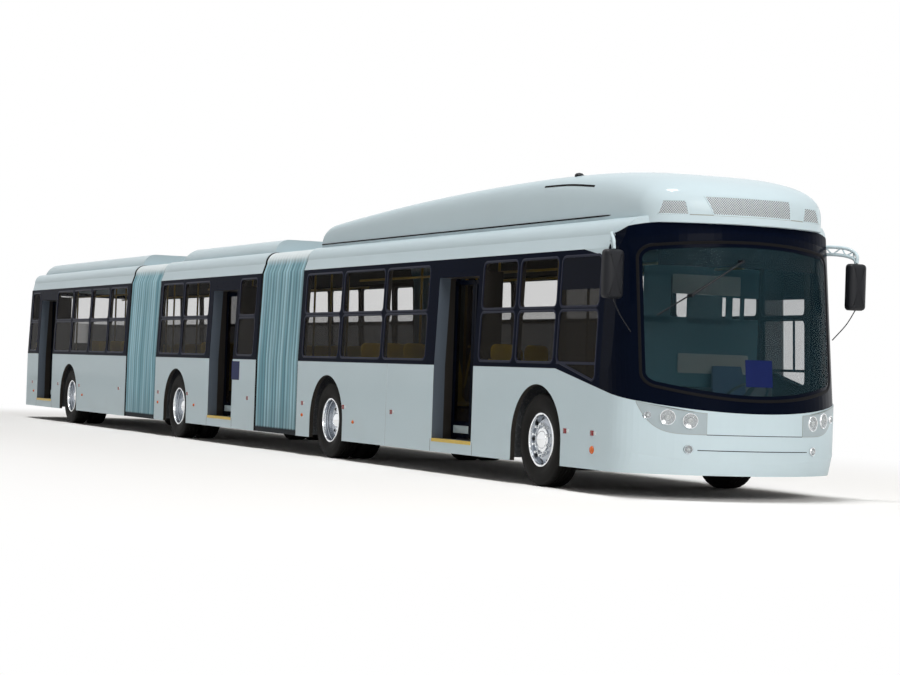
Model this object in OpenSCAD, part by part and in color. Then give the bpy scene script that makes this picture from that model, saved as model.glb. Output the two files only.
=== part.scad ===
// Bi-articulated low-floor city bus: three body sections joined by two bellows.
// X runs forward, Y to the left, Z up. The origin is on the ground under the middle of the bus.

/* [Overall] */
// Width over the body sides
body_w = 2600; // [2550:10:2650]
// Height of the skirt's lower edge
skirt_z = 250; // [230:5:270]
// Height of the belt, where the window band starts
belt_z = 1270; // [1250:5:1290]
// Height of the roof's crown
roof_z = 2880; // [2850:5:2910]
// Roof's crown down to the top of the window band
band_drop = 365; // [350:5:380]
// Height of the cabin floor
floor_z = 400; // [390:5:420]
// Thickness of walls and roof
wall = 60; // [50:1:70]

/* [Axles] */
// Nose to first axle
front_overhang = 2400; // [2350:10:2450]
// First axle to drive axle
wheelbase_1 = 6120; // [6050:10:6200]
// Drive axle to middle axle
wheelbase_2 = 6540; // [6480:10:6600]
// Middle axle to rear axle
wheelbase_3 = 6490; // [6430:10:6550]
// Rear axle to tail
rear_overhang = 3450; // [3350:10:3550]
// Axle to the end of its section
section_tail = 1090; // [1060:5:1120]
// Length of each bellows
bellows_len = 1715; // [1660:5:1760]

/* [Wheels] */
// Outer diameter of the tyres
tyre_d = 1000; // [970:5:1020]
// Width of a tyre
tyre_w = 285; // [270:5:295]
// Diameter of the rim seat
rim_d = 572; // [560:1:580]
// Distance between the tyres of a twin pair
twin_pitch = 330; // [320:2:345]
// Outer tyre wall back from the body side
wheel_inset = 50; // [40:2:70]
// Gap between a tyre and its wheel arch
arch_gap = 95; // [80:5:110]

/* [Doors] */
// Clear width of each doorway
door_w = 1100; // [1060:5:1130]
// Top of the window band down to the doorway's head
door_drop = 215; // [185:5:245]
// Depth of the door leaves behind the body side
door_recess = 250; // [220:5:280]
// Thickness of a door leaf
leaf_t = 40; // [34:1:46]

/* [Windows] */
// Belt up to the lower edge of the side windows
sill_rise = 60; // [40:5:80]
// Height of the bar between the fixed pane and the hopper
transom_z = 1900; // [1860:5:1940]
// Top of the window band down to the upper edge of the side windows
pane_drop = 65; // [45:5:85]
// Pillar between two windows
pillar_w = 76; // [60:2:90]
// Thickness of the glass
glass_t = 8; // [6:0.5:10]

/* [Nose] */
// Bow radius of the front in plan
bow_r = 1750; // [1700:10:1850]
// Radius of the front corners in plan
bow_corner_r = 450; // [420:5:480]
// Rake of the windscreen in degrees
rake = 7; // [5:0.5:9]
// Lower edge of the black screen surround at the nose
mask_z = 870; // [850:5:890]

/* [Roof pods] */
// Half width of the roof pods
pod_half_w = 1010; // [980:5:1040]
// Height of the front pod at its back, above the roof's crown
pod_back_h = 270; // [240:5:300]
// Height of the front pod at its highest, above the roof's crown
pod_top_h = 520; // [480:5:560]
// Height of the two rear pods
pod_low_h = 150; // [120:5:180]

/* [Hidden] */
$fn = 64;
bow_steps = 14;
crown_steps = 10;
corner_steps = 6;
oval_steps = 12;
quarter = 90;

// Clearances: running gap of moving pieces, seat gap of fixed ones, and the overrun of every cut
run_gap = 6;
seat_gap = 0.3;
pin_gap = 0.1;
over = 20;

// Places along the bus
half_w = body_w / 2;
overall_len = front_overhang + wheelbase_1 + wheelbase_2 + wheelbase_3 + rear_overhang;
nose_x = overall_len / 2;
tail_x = -overall_len / 2;
axle1_x = nose_x - front_overhang;
axle2_x = axle1_x - wheelbase_1;
axle3_x = axle2_x - wheelbase_2;
axle4_x = axle3_x - wheelbase_3;
front_end_x = axle2_x - section_tail;
pivot1_x = front_end_x - bellows_len / 2;
mid_start_x = front_end_x - bellows_len;
mid_end_x = axle3_x - section_tail;
pivot2_x = mid_end_x - bellows_len / 2;
rear_start_x = mid_end_x - bellows_len;
pillar_back = 990;
pillar_x = nose_x - pillar_back;
tail_depth = 300;
tail_seam_x = tail_x + tail_depth;

// Body section: lean of the window band, cove above it and round shoulder of the roof
band_top_z = roof_z - band_drop;
lean = 50;
cove_in = 97;
shoulder_r = 178;
shoulder_drop = 225;
shoulder_z = roof_z - shoulder_drop;
shoulder_y = half_w - cove_in - shoulder_r;
crown_rise = shoulder_drop - shoulder_r;
crown_r = (shoulder_y * shoulder_y + crown_rise * crown_rise) / (2 * crown_rise);
tail_bow_r = 2900;
tail_corner_r = 330;

// Sweep of the belt down to the nose, and of the band's head up over the screen
sweep_back = 1980;
belt_corner_back = 440;
mask_corner_rise = 100;
brow_back = 700;
brow_rise = 85;
brow_top_rise = 215;
brow_z = band_top_z + brow_rise;
brow_top_z = band_top_z + brow_top_rise;
head_dip = 95;
head_back = 1500;

// Windows and doors: each door is set from its axle, bays are shares of the stretch behind or ahead of a door
door_top_z = band_top_z - door_drop;
window_sill_z = belt_z + sill_rise;
window_head_z = band_top_z - pane_drop;
front_door_back = 2150;
middle_door_fore = 2186;
rear_door_back = 1769;
front_door_x = axle1_x - front_door_back;
middle_door_x = axle3_x + middle_door_fore;
rear_door_x = axle4_x - rear_door_back;
bay_end_gap = 105;
pillar_bay_gap = 70;
third_shares = [[0, 0.33], [0.33, 0.67], [0.67, 1]];
half_shares = [[0, 0.47], [0.47, 1]];
quarter_shares = [[0, 0.25], [0.25, 0.51], [0.51, 0.76], [0.76, 1]];
whole_shares = [[0, 1]];
// Room between a door's portal and the bays, behind and ahead of it
front_door_room = [196, 49];
middle_door_room = [115, 62];
rear_door_room = [63, 21];
window_r = 70;
transom_w = 34;
glass_in = 6;
jamb_t = 30;
jamb_depth = 330;
header_h = 60;
portal_half = door_w / 2 + jamb_t;
function stretch(x0, x1, shares) = [for (s = shares) [x0 + s[0] * (x1 - x0), x0 + s[1] * (x1 - x0)]];
function beside(door_x, room) = [door_x - portal_half - room[0], door_x + portal_half + room[1]];
front_blind = beside(front_door_x, front_door_room);
middle_blind = beside(middle_door_x, middle_door_room);
rear_blind = beside(rear_door_x, rear_door_room);
front_bays = concat(stretch(front_end_x + bay_end_gap, front_blind[0], third_shares),
                    stretch(front_blind[1], pillar_x - pillar_bay_gap, third_shares));
middle_bays = concat(stretch(mid_end_x + bay_end_gap, middle_blind[0], half_shares),
                     stretch(middle_blind[1], mid_start_x - bay_end_gap, whole_shares));
rear_bays = concat(stretch(tail_seam_x + bay_end_gap, rear_blind[0], whole_shares),
                   stretch(rear_blind[1], rear_start_x - bay_end_gap, quarter_shares));

// Floor, wheel boxes and hitches
floor_t = 120;
floor_low_z = floor_z - floor_t;
pit_wall = 30;
pit_room = 190;
pit_half = tyre_d / 2 + pit_room;
pit_head = 140;
pit_top_z = tyre_d + pit_head;
walk_half = 700;
disc_r = 770;
disc_gap = 10;
hitch_z = 170;
hitch_gap = 6;
hitch_boss_r = 240;
hitch_pin_r = 80;
hitch_half = 260;

// Wheel places, and the wheel boxes inside the twin tyres and the uprights of the axles
axle_z = tyre_d / 2;
arch_d = tyre_d + 2 * arch_gap;
wheel_y = half_w - wheel_inset - tyre_w / 2;
twin_y = wheel_y - twin_pitch;
upright_t = 56;
pit_in = twin_y - tyre_w / 2 - 2 * run_gap - upright_t - pit_wall;
spindle_r = 60;
king_back = 215;
king_y = wheel_y - king_back;
king_r = 25;
boss_r = 62;
boss_half = 70;
fork_t = 30;
hub_len = 150;

function reversed(list) = [for (i = [len(list) - 1:-1:0]) list[i]];
function both_sides(edge) = concat(edge, [for (p = reversed(edge)) [-p.x, p.y]]);
function arc(centre, r, from, to, steps, first) = [
    for (k = [first:steps]) let (a = from + (to - from) * k / steps) centre + r * [cos(a), sin(a)]];
function round_box(low, high, r, drop = 0) = concat(
    arc([high.x - r, high.y - r], r, 0, quarter, corner_steps, 0),
    arc([low.x + r, high.y - r], r, quarter, 2 * quarter, corner_steps, 0),
    arc([low.x + r, low.y + r], r, 2 * quarter, 3 * quarter, corner_steps, 0),
    arc([high.x - r, low.y - drop + r], r, 3 * quarter, 4 * quarter, corner_steps, 0));
// One quarter of a superellipse, from the side up to near the top
function quarter_oval(w, low_z, high_z, power) = [
    for (k = [0:oval_steps - 1]) let (a = quarter * k / oval_steps)
        [w * pow(cos(a), 2 / power), low_z + (high_z - low_z) * pow(sin(a), 2 / power)]];

// Draws a (Y, Z) outline along X, and an (X, Z) outline along Y
module along_x(x0, x1) { translate([x0, 0, 0]) rotate([90, 0, 90]) linear_extrude(x1 - x0) children(); }
module along_y(y0, y1) { translate([0, y1, 0]) rotate([90, 0, 0]) linear_extrude(y1 - y0) children(); }
module box(low, high) { translate(low) cube(high - low); }
module rod(p, q, r) {
    d = q - p;
    length = norm(d);
    translate(p) rotate([0, acos(d.z / length), atan2(d.y, d.x)]) cylinder(h = length, r = r);
}

// Outline of the body across the bus, drawn in from the outer skin by an inset
module section_face(inset) {
    r = shoulder_r - inset;
    edge = [[half_w - inset, skirt_z], [half_w - inset, belt_z], [half_w - lean - inset, band_top_z],
            [shoulder_y + r, shoulder_z], [shoulder_y, shoulder_z], [shoulder_y, shoulder_z + r]];
    polygon(both_sides(edge));
    for (side = [0, 1]) mirror([side, 0]) intersection() {
        translate([shoulder_y, shoulder_z]) circle(r);
        translate([shoulder_y, shoulder_z]) square(2 * r);
    }
}
module crown_face() {
    swing = asin(shoulder_y / crown_r);
    polygon(arc([0, roof_z - crown_r], crown_r, quarter - swing, quarter + swing, crown_steps, 0));
}
module outer_face() { section_face(0); crown_face(); }

// Edge of a bowed end with a round corner, and the outline with that end at tip_x
function bow_edge(tip_x, w, r, corner) =
    let (swing = asin((w - corner) / (r - corner)), centre_x = tip_x - r,
         corner_at = [centre_x + (r - corner) * cos(swing), w - corner])
    concat(arc([centre_x, 0], r, 0, swing, bow_steps, 1),
           arc(corner_at, corner, swing, quarter, corner_steps, 1));
module bow_face(tip_x, back_x, w, r, corner) {
    edge = concat(bow_edge(tip_x, w, r, corner), [[back_x, w]]);
    polygon(concat([[tip_x, 0]], edge, [for (p = reversed(edge)) [p.x, -p.y]]));
}

// Solid of the front section inside the skin by an inset, its nose upright or tilted about a height
module bowed_solid(inset, tilt, pivot_z) {
    translate([nose_x, 0, pivot_z]) rotate([0, -tilt, 0]) translate([-nose_x, 0, -2 * roof_z])
        linear_extrude(4 * roof_z) bow_face(nose_x - inset, front_end_x - front_overhang, half_w - inset,
                                            bow_r - inset, bow_corner_r - inset);
}
module front_solid(inset, tilt) {
    intersection() {
        along_x(front_end_x, nose_x + over) if (inset == 0) outer_face(); else section_face(inset);
        bowed_solid(inset, tilt, mask_z);
    }
}
module front_shell(tilt) { difference() { front_solid(0, tilt); front_solid(wall, tilt); } }
module plain_shell(x0, x1) { along_x(x0, x1) difference() { outer_face(); section_face(wall); } }

// Side view cuts of the front section: below the belt, between belt and head, above the head
belt_line = [[front_end_x - over, belt_z], [nose_x - sweep_back, belt_z],
             [nose_x - belt_corner_back, mask_z + mask_corner_rise], [nose_x + over, mask_z]];
head_line = [[front_end_x - over, band_top_z], [nose_x - head_back, band_top_z],
             [pillar_x, band_top_z - head_dip], [nose_x - brow_back, brow_z], [nose_x + over, brow_top_z]];
module below_belt() {
    along_y(-body_w, body_w) polygon(concat(belt_line, [[nose_x + over, 0], [front_end_x - over, 0]]));
}
module belt_to_head() { along_y(-body_w, body_w) polygon(concat(belt_line, reversed(head_line))); }
module above_head() {
    along_y(-body_w, body_w)
        polygon(concat(head_line, [[nose_x + over, 2 * roof_z], [front_end_x - over, 2 * roof_z]]));
}

// Window openings of one side: hopper above, fixed pane below, shrunk by a gap
// The sill follows the sweep of the belt
belt_slope = (belt_z - mask_z - mask_corner_rise) / (sweep_back - belt_corner_back);
function sill_drop(x) = max(0, x - nose_x + sweep_back) * belt_slope;
module bay_face(bay, gap) {
    x0 = bay[0] + pillar_w / 2 + gap;
    x1 = bay[1] - pillar_w / 2 - gap;
    r = min(window_r, (x1 - x0) / 3);
    polygon(round_box([x0, window_sill_z + gap], [x1, transom_z - transom_w / 2 - gap], r, sill_drop(x1)));
    polygon(round_box([x0, transom_z + transom_w / 2 + gap], [x1, window_head_z - gap], r));
}
module bay_cuts(bays, blind, gap) {
    for (bay = bays, side = [0, 1]) mirror([0, side, 0]) along_y(0, body_w) bay_face(bay, gap);
    along_y(0, body_w) bay_face(blind, gap);
}
module side_glass(start_x, end_x, bays, blind) {
    out = half_w - glass_in;
    intersection() {
        bay_cuts(bays, blind, seat_gap);
        union() for (side = [0, 1]) mirror([0, side, 0]) along_x(start_x, end_x)
            polygon([[out, mask_z], [out, belt_z], [out - lean, band_top_z],
                     [out - lean - glass_t, band_top_z], [out - glass_t, belt_z], [out - glass_t, mask_z]]);
    }
}
module arch(x) {
    along_y(-body_w, body_w) {
        translate([x, axle_z]) circle(d = arch_d);
        translate([x - arch_d / 2, 0]) square([arch_d, axle_z]);
    }
}
module doorway(x) {
    box([x - door_w / 2, -half_w - over, floor_z], [x + door_w / 2, -half_w + jamb_depth + over, door_top_z]);
}
module door_portal(x) {
    difference() {
        box([x - portal_half, -half_w + wall, floor_z],
            [x + portal_half, -half_w + jamb_depth, door_top_z + header_h]);
        doorway(x);
    }
}
// Both side walls of a section, with windows, arches, the doorway and its portal
module side_walls(start_x, end_x, axles, bays, blind, door_x) {
    difference() {
        union() {
            intersection() {
                children();
                box([start_x, -body_w, 0], [end_x, body_w, 2 * roof_z]);
                union() for (side = [0, 1]) mirror([0, side, 0])
                    box([start_x, half_w - wall - lean - over, 0], [end_x, body_w, 2 * roof_z]);
            }
            door_portal(door_x);
        }
        bay_cuts(bays, blind, 0);
        for (x = axles) arch(x);
        doorway(door_x);
    }
}

// Floor with wheel boxes set into it
module wheel_pit(x, inset, low_z, out_y) {
    for (side = [0, 1]) mirror([0, side, 0])
        box([x - pit_half + inset, pit_in + inset, low_z], [x + pit_half - inset, out_y, pit_top_z - inset]);
}
module floor_with_pits(axles) {
    difference() {
        children();
        for (x = axles) wheel_pit(x, -seat_gap, 0, half_w);
    }
    for (x = axles) difference() {
        wheel_pit(x, 0, floor_low_z, half_w - wall);
        wheel_pit(x, pit_wall, 0, half_w);
    }
}
// Front half of a turntable: walkway with a round end, and the arm with the bearing boss below
module hitch_arm(end_x, pivot_x) {
    difference() {
        box([pivot_x, -walk_half, floor_low_z], [end_x + over, walk_half, floor_z]);
        translate([pivot_x, 0, 0]) cylinder(h = floor_z + over, r = disc_r + disc_gap);
    }
    difference() {
        union() {
            box([pivot_x, -hitch_half / 2, hitch_z],
                [end_x + section_tail / 2, hitch_half / 2, floor_low_z - hitch_gap]);
            box([end_x, -hitch_half / 2, hitch_z], [end_x + section_tail / 2, hitch_half / 2, floor_low_z]);
            translate([pivot_x, 0, hitch_z]) cylinder(h = floor_low_z - hitch_gap - hitch_z, r = hitch_boss_r);
        }
        translate([pivot_x, 0, 0]) cylinder(h = floor_z, r = hitch_pin_r + pin_gap);
    }
}
// Rear half of a turntable: the walkway, its disc and the king pin
module hitch_disc(start_x, pivot_x) {
    translate([pivot_x, 0, floor_low_z]) cylinder(h = floor_t, r = disc_r);
    box([start_x - over, -walk_half, floor_low_z], [pivot_x, walk_half, floor_z]);
    translate([pivot_x, 0, hitch_z]) cylinder(h = floor_low_z - hitch_z + over, r = hitch_pin_r);
}

module front_platform() {
    color("dimgray") {
        floor_with_pits([axle1_x, axle2_x]) intersection() {
            bowed_solid(wall, 0, mask_z);
            box([front_end_x, -half_w, floor_low_z], [nose_x, half_w, floor_z]);
        }
        hitch_arm(front_end_x, pivot1_x);
    }
}
module middle_platform() {
    color("dimgray") {
        floor_with_pits([axle3_x])
            box([mid_end_x, -half_w + wall, floor_low_z], [mid_start_x, half_w - wall, floor_z]);
        hitch_arm(mid_end_x, pivot2_x);
        hitch_disc(mid_start_x, pivot1_x);
    }
}
module rear_platform() {
    color("dimgray") {
        floor_with_pits([axle4_x])
            box([tail_seam_x, -half_w + wall, floor_low_z], [rear_start_x, half_w - wall, floor_z]);
        hitch_disc(rear_start_x, pivot2_x);
    }
}

module front_sides() {
    color("azure")
        side_walls(front_end_x, pillar_x, [axle1_x, axle2_x], front_bays, front_blind, front_door_x) {
            difference() {
                front_shell(0);
                above_head();
            }
        }
}
module middle_sides() {
    color("azure")
        side_walls(mid_end_x, mid_start_x, [axle3_x], middle_bays, middle_blind, middle_door_x)
            below_head(mid_end_x, mid_start_x) plain_shell(mid_end_x, mid_start_x);
}
module rear_sides() {
    color("azure")
        side_walls(tail_seam_x, rear_start_x, [axle4_x], rear_bays, rear_blind, rear_door_x)
            below_head(tail_seam_x, rear_start_x) plain_shell(tail_seam_x, rear_start_x);
}
module below_head(x0, x1) {
    intersection() {
        children();
        box([x0, -body_w, 0], [x1, body_w, band_top_z]);
    }
}
module front_roof() {
    color("azure") intersection() { front_shell(rake); above_head(); }
}
module middle_roof() { color("azure") plain_roof(mid_end_x, mid_start_x); }
module plain_roof(x0, x1) {
    intersection() {
        plain_shell(x0, x1);
        box([x0, -body_w, band_top_z], [x1, body_w, 2 * roof_z]);
    }
}
// Tail: the same section with its end bowed the other way
module tail_solid(inset) {
    intersection() {
        along_x(tail_x - over, rear_start_x) if (inset == 0) outer_face(); else section_face(inset);
        linear_extrude(2 * roof_z) mirror([1, 0])
            bow_face(-tail_x - inset, -rear_start_x - over, half_w - inset,
                     tail_bow_r - inset, tail_corner_r - inset);
    }
}
module rear_roof() {
    color("azure") intersection() {
        difference() { tail_solid(0); tail_solid(wall); }
        box([tail_x - over, -body_w, band_top_z], [rear_start_x, body_w, 2 * roof_z]);
    }
}
tail_window_half_share = 0.78;
tail_window_z = 1500;
module tail_window_face(gap) {
    polygon(round_box([-half_w * tail_window_half_share + gap, tail_window_z + gap],
                      [half_w * tail_window_half_share - gap, window_head_z - gap], window_r));
}
module rear_wall() {
    color("azure") difference() {
        intersection() {
            difference() { tail_solid(0); tail_solid(wall); }
            box([tail_x - over, -body_w, 0], [tail_seam_x, body_w, band_top_z]);
        }
        along_x(tail_x - over, tail_seam_x) tail_window_face(0);
        tail_lamp_cuts(0);
    }
}
lamp_h = 420;
lamp_w = 130;
lamp_low_z = 620;
lamp_depth = 40;
lamp_y_share = 0.78;
module tail_lamp_cuts(gap) {
    for (side = [0, 1]) mirror([0, side, 0]) intersection() {
        along_x(tail_x - over, tail_seam_x)
            translate([half_w * lamp_y_share, lamp_low_z])
                polygon(round_box([-lamp_w / 2 + gap, gap], [lamp_w / 2 - gap, lamp_h - gap], window_r / 2));
        difference() { tail_solid(-gap); tail_solid(lamp_depth - gap); }
    }
}
module tail_lamps() { color("firebrick") tail_lamp_cuts(seat_gap); }

// Fascia: the lower edge of the bumper is bevelled back, and the headlamp housings sit in recesses
bevel_z = skirt_z + skirt_z / 2;
bevel = 18;
module front_fascia() {
    color("azure") difference() {
        intersection() {
            front_shell(0);
            bowed_solid(0, -bevel, bevel_z);
            below_belt();
            box([pillar_x, -body_w, 0], [nose_x + over, body_w, roof_z]);
        }
        headlamp_bodies(seat_gap, over);
        housings(0, 0, housing_depth + seat_gap);
    }
}
screen_lift = 130;
screen_low_z = mask_z + screen_lift;
screen_rise = 85;
screen_top_z = band_top_z + screen_rise;
screen_half_share = 0.87;
screen_r = 150;
screen_low_bow_r = 4400;
screen_top_bow_r = 9000;
screen_mid_z = (screen_low_z + screen_top_z) / 2;
module screen_face(gap) {
    w = half_w * screen_half_share - gap;
    rotate(-quarter) bow_face(-screen_low_z - gap, -screen_mid_z - over, w, screen_low_bow_r, screen_r);
    rotate(quarter) bow_face(screen_top_z - gap, screen_mid_z - over, w, screen_top_bow_r, screen_r);
}
module screen_surround() {
    color("midnightblue") difference() {
        intersection() {
            front_shell(rake);
            belt_to_head();
            box([pillar_x, -body_w, 0], [nose_x + over, body_w, 2 * roof_z]);
        }
        along_x(pillar_x + over, nose_x + over) screen_face(0);
    }
}
module windscreen() {
    color("lightsteelblue", 0.5) intersection() {
        difference() { front_solid(glass_in, rake); front_solid(glass_in + glass_t, rake); }
        along_x(pillar_x + over, nose_x + over) screen_face(seat_gap);
    }
}
module front_glass() {
    color("slategray", 0.5) side_glass(front_end_x, pillar_x, front_bays, front_blind);
}
module middle_glass() {
    color("slategray", 0.5) side_glass(mid_end_x, mid_start_x, middle_bays, middle_blind);
}
module rear_glass() {
    color("slategray", 0.5) {
        side_glass(tail_seam_x, rear_start_x, rear_bays, rear_blind);
        intersection() {
            difference() { tail_solid(glass_in); tail_solid(glass_in + glass_t); }
            along_x(tail_x - over, tail_seam_x) tail_window_face(seat_gap);
        }
    }
}

// Headlamps: columns are place across as a share of the half width, drop below the surround and radius
lamp_table = [[0.552, 80, 82], [0.704, 50, 82], [0.830, 35, 42], [0.559, 362, 46]];
lamp_back = 150;
lamp_proud = 12;
bow_swing = asin((half_w - bow_corner_r) / (bow_r - bow_corner_r));
bow_corner_x = nose_x - bow_r + (bow_r - bow_corner_r) * cos(bow_swing);
// Distance of the nose's skin along X: the bow, then the corner's arc
function round_x(r, y) = sqrt(r * r - y * y);
function bow_x(y) = abs(y) < bow_r * sin(bow_swing) ? nose_x - bow_r + round_x(bow_r, y)
    : bow_corner_x + round_x(bow_corner_r, abs(y) - half_w + bow_corner_r);
module headlamp_bodies(gap, extra) {
    for (lamp = lamp_table, side = [0, 1]) mirror([0, side, 0])
        translate([bow_x(half_w * lamp[0]) - lamp_back - gap, half_w * lamp[0], mask_z - lamp[1]])
            rotate([0, 90, 0]) cylinder(h = lamp_back + lamp_proud + extra, r = lamp[2] + gap);
}
// Housing of three lamps: places across as shares of the half width, and drops below the surround
housing_table = [[0.448, 4], [0.890, -92], [0.828, 85], [0.687, 196], [0.448, 214]];
housing_mid = [0.66, 90];
housing_in = 4;
housing_depth = 44;
housing_fit_share = 0.997;
module housings(fit_gap, skin, depth) {
    fit = fit_gap > 0 ? housing_fit_share : 1;
    intersection() {
        difference() { front_solid(skin, 0); front_solid(depth, 0); }
        for (side = [0, 1]) mirror([0, side, 0]) along_x(pillar_x, nose_x)
            polygon([for (p = housing_table) let (q = housing_mid + (p - housing_mid) * fit)
                         [half_w * q.x, mask_z - q.y]]);
    }
}
module headlamps() {
    color("lightgray") {
        headlamp_bodies(0, 0);
        housings(seat_gap, housing_in, housing_depth);
    }
}

// Front pod: superellipse slices along a bowed plan outline, hulled into a smooth shell and seated on the roof
pod_lip = 130;
pod_lip_h = 70;
pod_top_back = 3100;
pod_back_gap = 30;
pod_base_drop = 110;
pod_tip_x = nose_x - pod_lip;
pod_top_x = nose_x - pod_top_back;
pod_back_x = front_end_x + pod_back_gap;
pod_base_z = roof_z - pod_base_drop;
pod_back_z = roof_z + pod_back_h;
pod_top_z = roof_z + pod_top_h;
pod_low_z = roof_z + pod_low_h;
pod_lip_z = pod_base_z + pod_lip_h;
pod_bow_r = 1500;
pod_corner_r = 420;
pod_shoulder_r = 210;
pod_tail_len = 320;
pod_tail_share = 0.5;
pod_nose_power = 3;
pod_side_power = 7;
pod_tip_power = 2.6;
pod_steps = 5;
slice_t = 1;
pod_edge = bow_edge(pod_tip_x, pod_half_w, pod_bow_r, pod_corner_r);
pod_corner_x = pod_edge[len(pod_edge) - 1].x;
pod_round_x = pod_back_x + pod_tail_len;
function spread(x0, x1) = [for (k = [1:pod_steps]) x0 + (x1 - x0) * k / pod_steps];
// Height along the pod: a round tail, a long rise and the nose's curve down to the lip
function pod_along(x) = max(0, (x - pod_top_x) / (pod_tip_x - pod_top_x));
function pod_tail(x) = x > pod_round_x ? 1
    : pod_tail_share + (1 - pod_tail_share) * sqrt(1 - pow((pod_round_x - x) / pod_tail_len, 2));
function pod_crest(x) = x > pod_top_x
    ? pod_lip_z + (pod_top_z - pod_lip_z) * pow(1 - pow(pod_along(x), pod_nose_power), 1 / pod_nose_power)
    : pod_top_z - (pod_top_z - pod_back_z) * pow((pod_top_x - x) / (pod_top_x - pod_back_x), 2);
function pod_height(x) = pod_lip_z + (pod_crest(x) - pod_lip_z) * pod_tail(x);
pod_places = concat(
    [for (x = concat([pod_back_x], spread(pod_back_x, pod_round_x), spread(pod_round_x, pod_top_x),
                     spread(pod_top_x, pod_corner_x))) [x, pod_half_w]], pod_edge);
module pod_slice(place, inset) {
    power = pod_side_power + (pod_tip_power - pod_side_power) * pod_along(place.x);
    high_z = max(pod_height(place.x) - inset, pod_lip_z + slice_t);
    translate([place.x - inset - slice_t, 0, 0]) rotate([quarter, 0, quarter]) linear_extrude(slice_t)
        polygon(both_sides(concat([[place.y - inset, pod_base_z]],
                                  quarter_oval(place.y - inset, pod_lip_z, high_z, power))));
}
module pod_body(inset) { hull() for (place = pod_places) pod_slice(place, inset); }
// Grilles in the nose: right and left end, lower and upper edge above the lip, slant of the right and left end
grille_table = [[-490, 390, 30, 200, -80, 0], [590, 840, 20, 150, 30, -60], [-940, -730, 20, 150, 30, -30]];
grille_depth = 14;
module grille_cuts() {
    difference() {
        along_x(pod_corner_x - pod_corner_r, nose_x) for (g = grille_table)
            translate([0, pod_lip_z])
                polygon([[g[0], g[2]], [g[1], g[2]], [g[1] + g[5], g[3]], [g[0] + g[4], g[3]]]);
        pod_body(grille_depth);
    }
}
module front_roof_pod() {
    color("azure") difference() {
        pod_body(0);
        front_solid(0, rake);
        grille_cuts();
    }
}
module pod_cross_face(top_z) {
    y = pod_half_w - pod_shoulder_r;
    z = top_z - pod_shoulder_r;
    edge = [[pod_half_w, pod_base_z], [pod_half_w, z], [y, z], [y, top_z]];
    polygon(both_sides(edge));
    for (side = [0, 1]) mirror([side, 0]) intersection() {
        translate([y, z]) circle(pod_shoulder_r);
        translate([y, z]) square(2 * pod_shoulder_r);
    }
}
pod_end_gap = 110;
pod_ramp = 320;
module low_pod(x0, x1) {
    difference() {
        intersection() {
            along_y(-pod_half_w, pod_half_w) polygon([[x0, pod_base_z], [x1, pod_base_z], [x1, pod_low_z],
                                                      [x0 + pod_ramp, pod_low_z]]);
            along_x(x0, x1) pod_cross_face(pod_low_z);
        }
        along_x(x0 - over, x1 + over) outer_face();
    }
}
module middle_roof_pod() { color("azure") low_pod(mid_end_x + pod_ramp, mid_start_x - pod_end_gap); }
module rear_roof_pod() { color("azure") low_pod(tail_seam_x, rear_start_x - pod_end_gap); }

// Bellows: a slack tube with a row of pleat rings, open below
pleats = 16;
pleat_in = 20;
valley_in = 75;
fold_t = 12;
pleat_len_share = 0.5;
module bellows(x0) {
    pitch = (bellows_len - 2 * seat_gap) / pleats;
    translate([x0 + seat_gap, 0, 0]) {
        along_x(0, bellows_len - 2 * seat_gap) difference() { section_face(valley_in); bellows_hollow(); }
        for (k = [0:pleats - 1]) translate([k * pitch, 0, 0])
            along_x(pitch * pleat_len_share / 2, pitch * (1 - pleat_len_share / 2))
                difference() { section_face(pleat_in); bellows_hollow(); }
    }
}
module bellows_hollow() {
    section_face(valley_in + fold_t);
    translate([-half_w + valley_in + fold_t, 0]) square([body_w - 2 * (valley_in + fold_t), 2 * skirt_z]);
}
module front_bellows() { color("lightsteelblue") bellows(mid_start_x); }
module rear_bellows() { color("lightsteelblue") bellows(rear_start_x); }

// Axles: a dropped beam under the floor with uprights in the wheel boxes
beam_low_z = 180;
beam_half_x = 70;
module dropped_beam(x, out_y, high_z) {
    translate([x - beam_half_x, 0, 0]) along_x(0, 2 * beam_half_x)
        polygon(both_sides([[out_y, beam_low_z], [out_y, high_z], [out_y - upright_t, high_z],
                            [out_y - upright_t, floor_low_z]]));
}
module carrying_axle(x) {
    out_y = pit_in + pit_wall + run_gap + upright_t;
    dropped_beam(x, out_y, axle_z + 2 * spindle_r);
    for (side = [0, 1]) mirror([0, side, 0])
        translate([x, out_y - over, axle_z]) rotate([-90, 0, 0])
            cylinder(h = wheel_y - out_y + over, r = spindle_r);
}
module drive_axle() { color("dimgray") carrying_axle(axle2_x); }
module middle_axle() { color("dimgray") carrying_axle(axle3_x); }
module rear_axle() { color("dimgray") carrying_axle(axle4_x); }
module front_axle_beam() {
    out_y = king_y - boss_r - run_gap;
    color("dimgray") difference() {
        union() {
            dropped_beam(axle1_x, out_y, axle_z + boss_half);
            for (side = [0, 1]) mirror([0, side, 0]) {
                translate([axle1_x, king_y, axle_z - boss_half]) cylinder(h = 2 * boss_half, r = boss_r);
                box([axle1_x - boss_r / 2, out_y - upright_t / 2, axle_z - boss_half],
                    [axle1_x + boss_r / 2, king_y, axle_z + boss_half]);
            }
        }
        for (side = [0, 1]) mirror([0, side, 0])
            translate([axle1_x, king_y, 0]) cylinder(h = tyre_d, r = king_r + pin_gap);
    }
}
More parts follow.
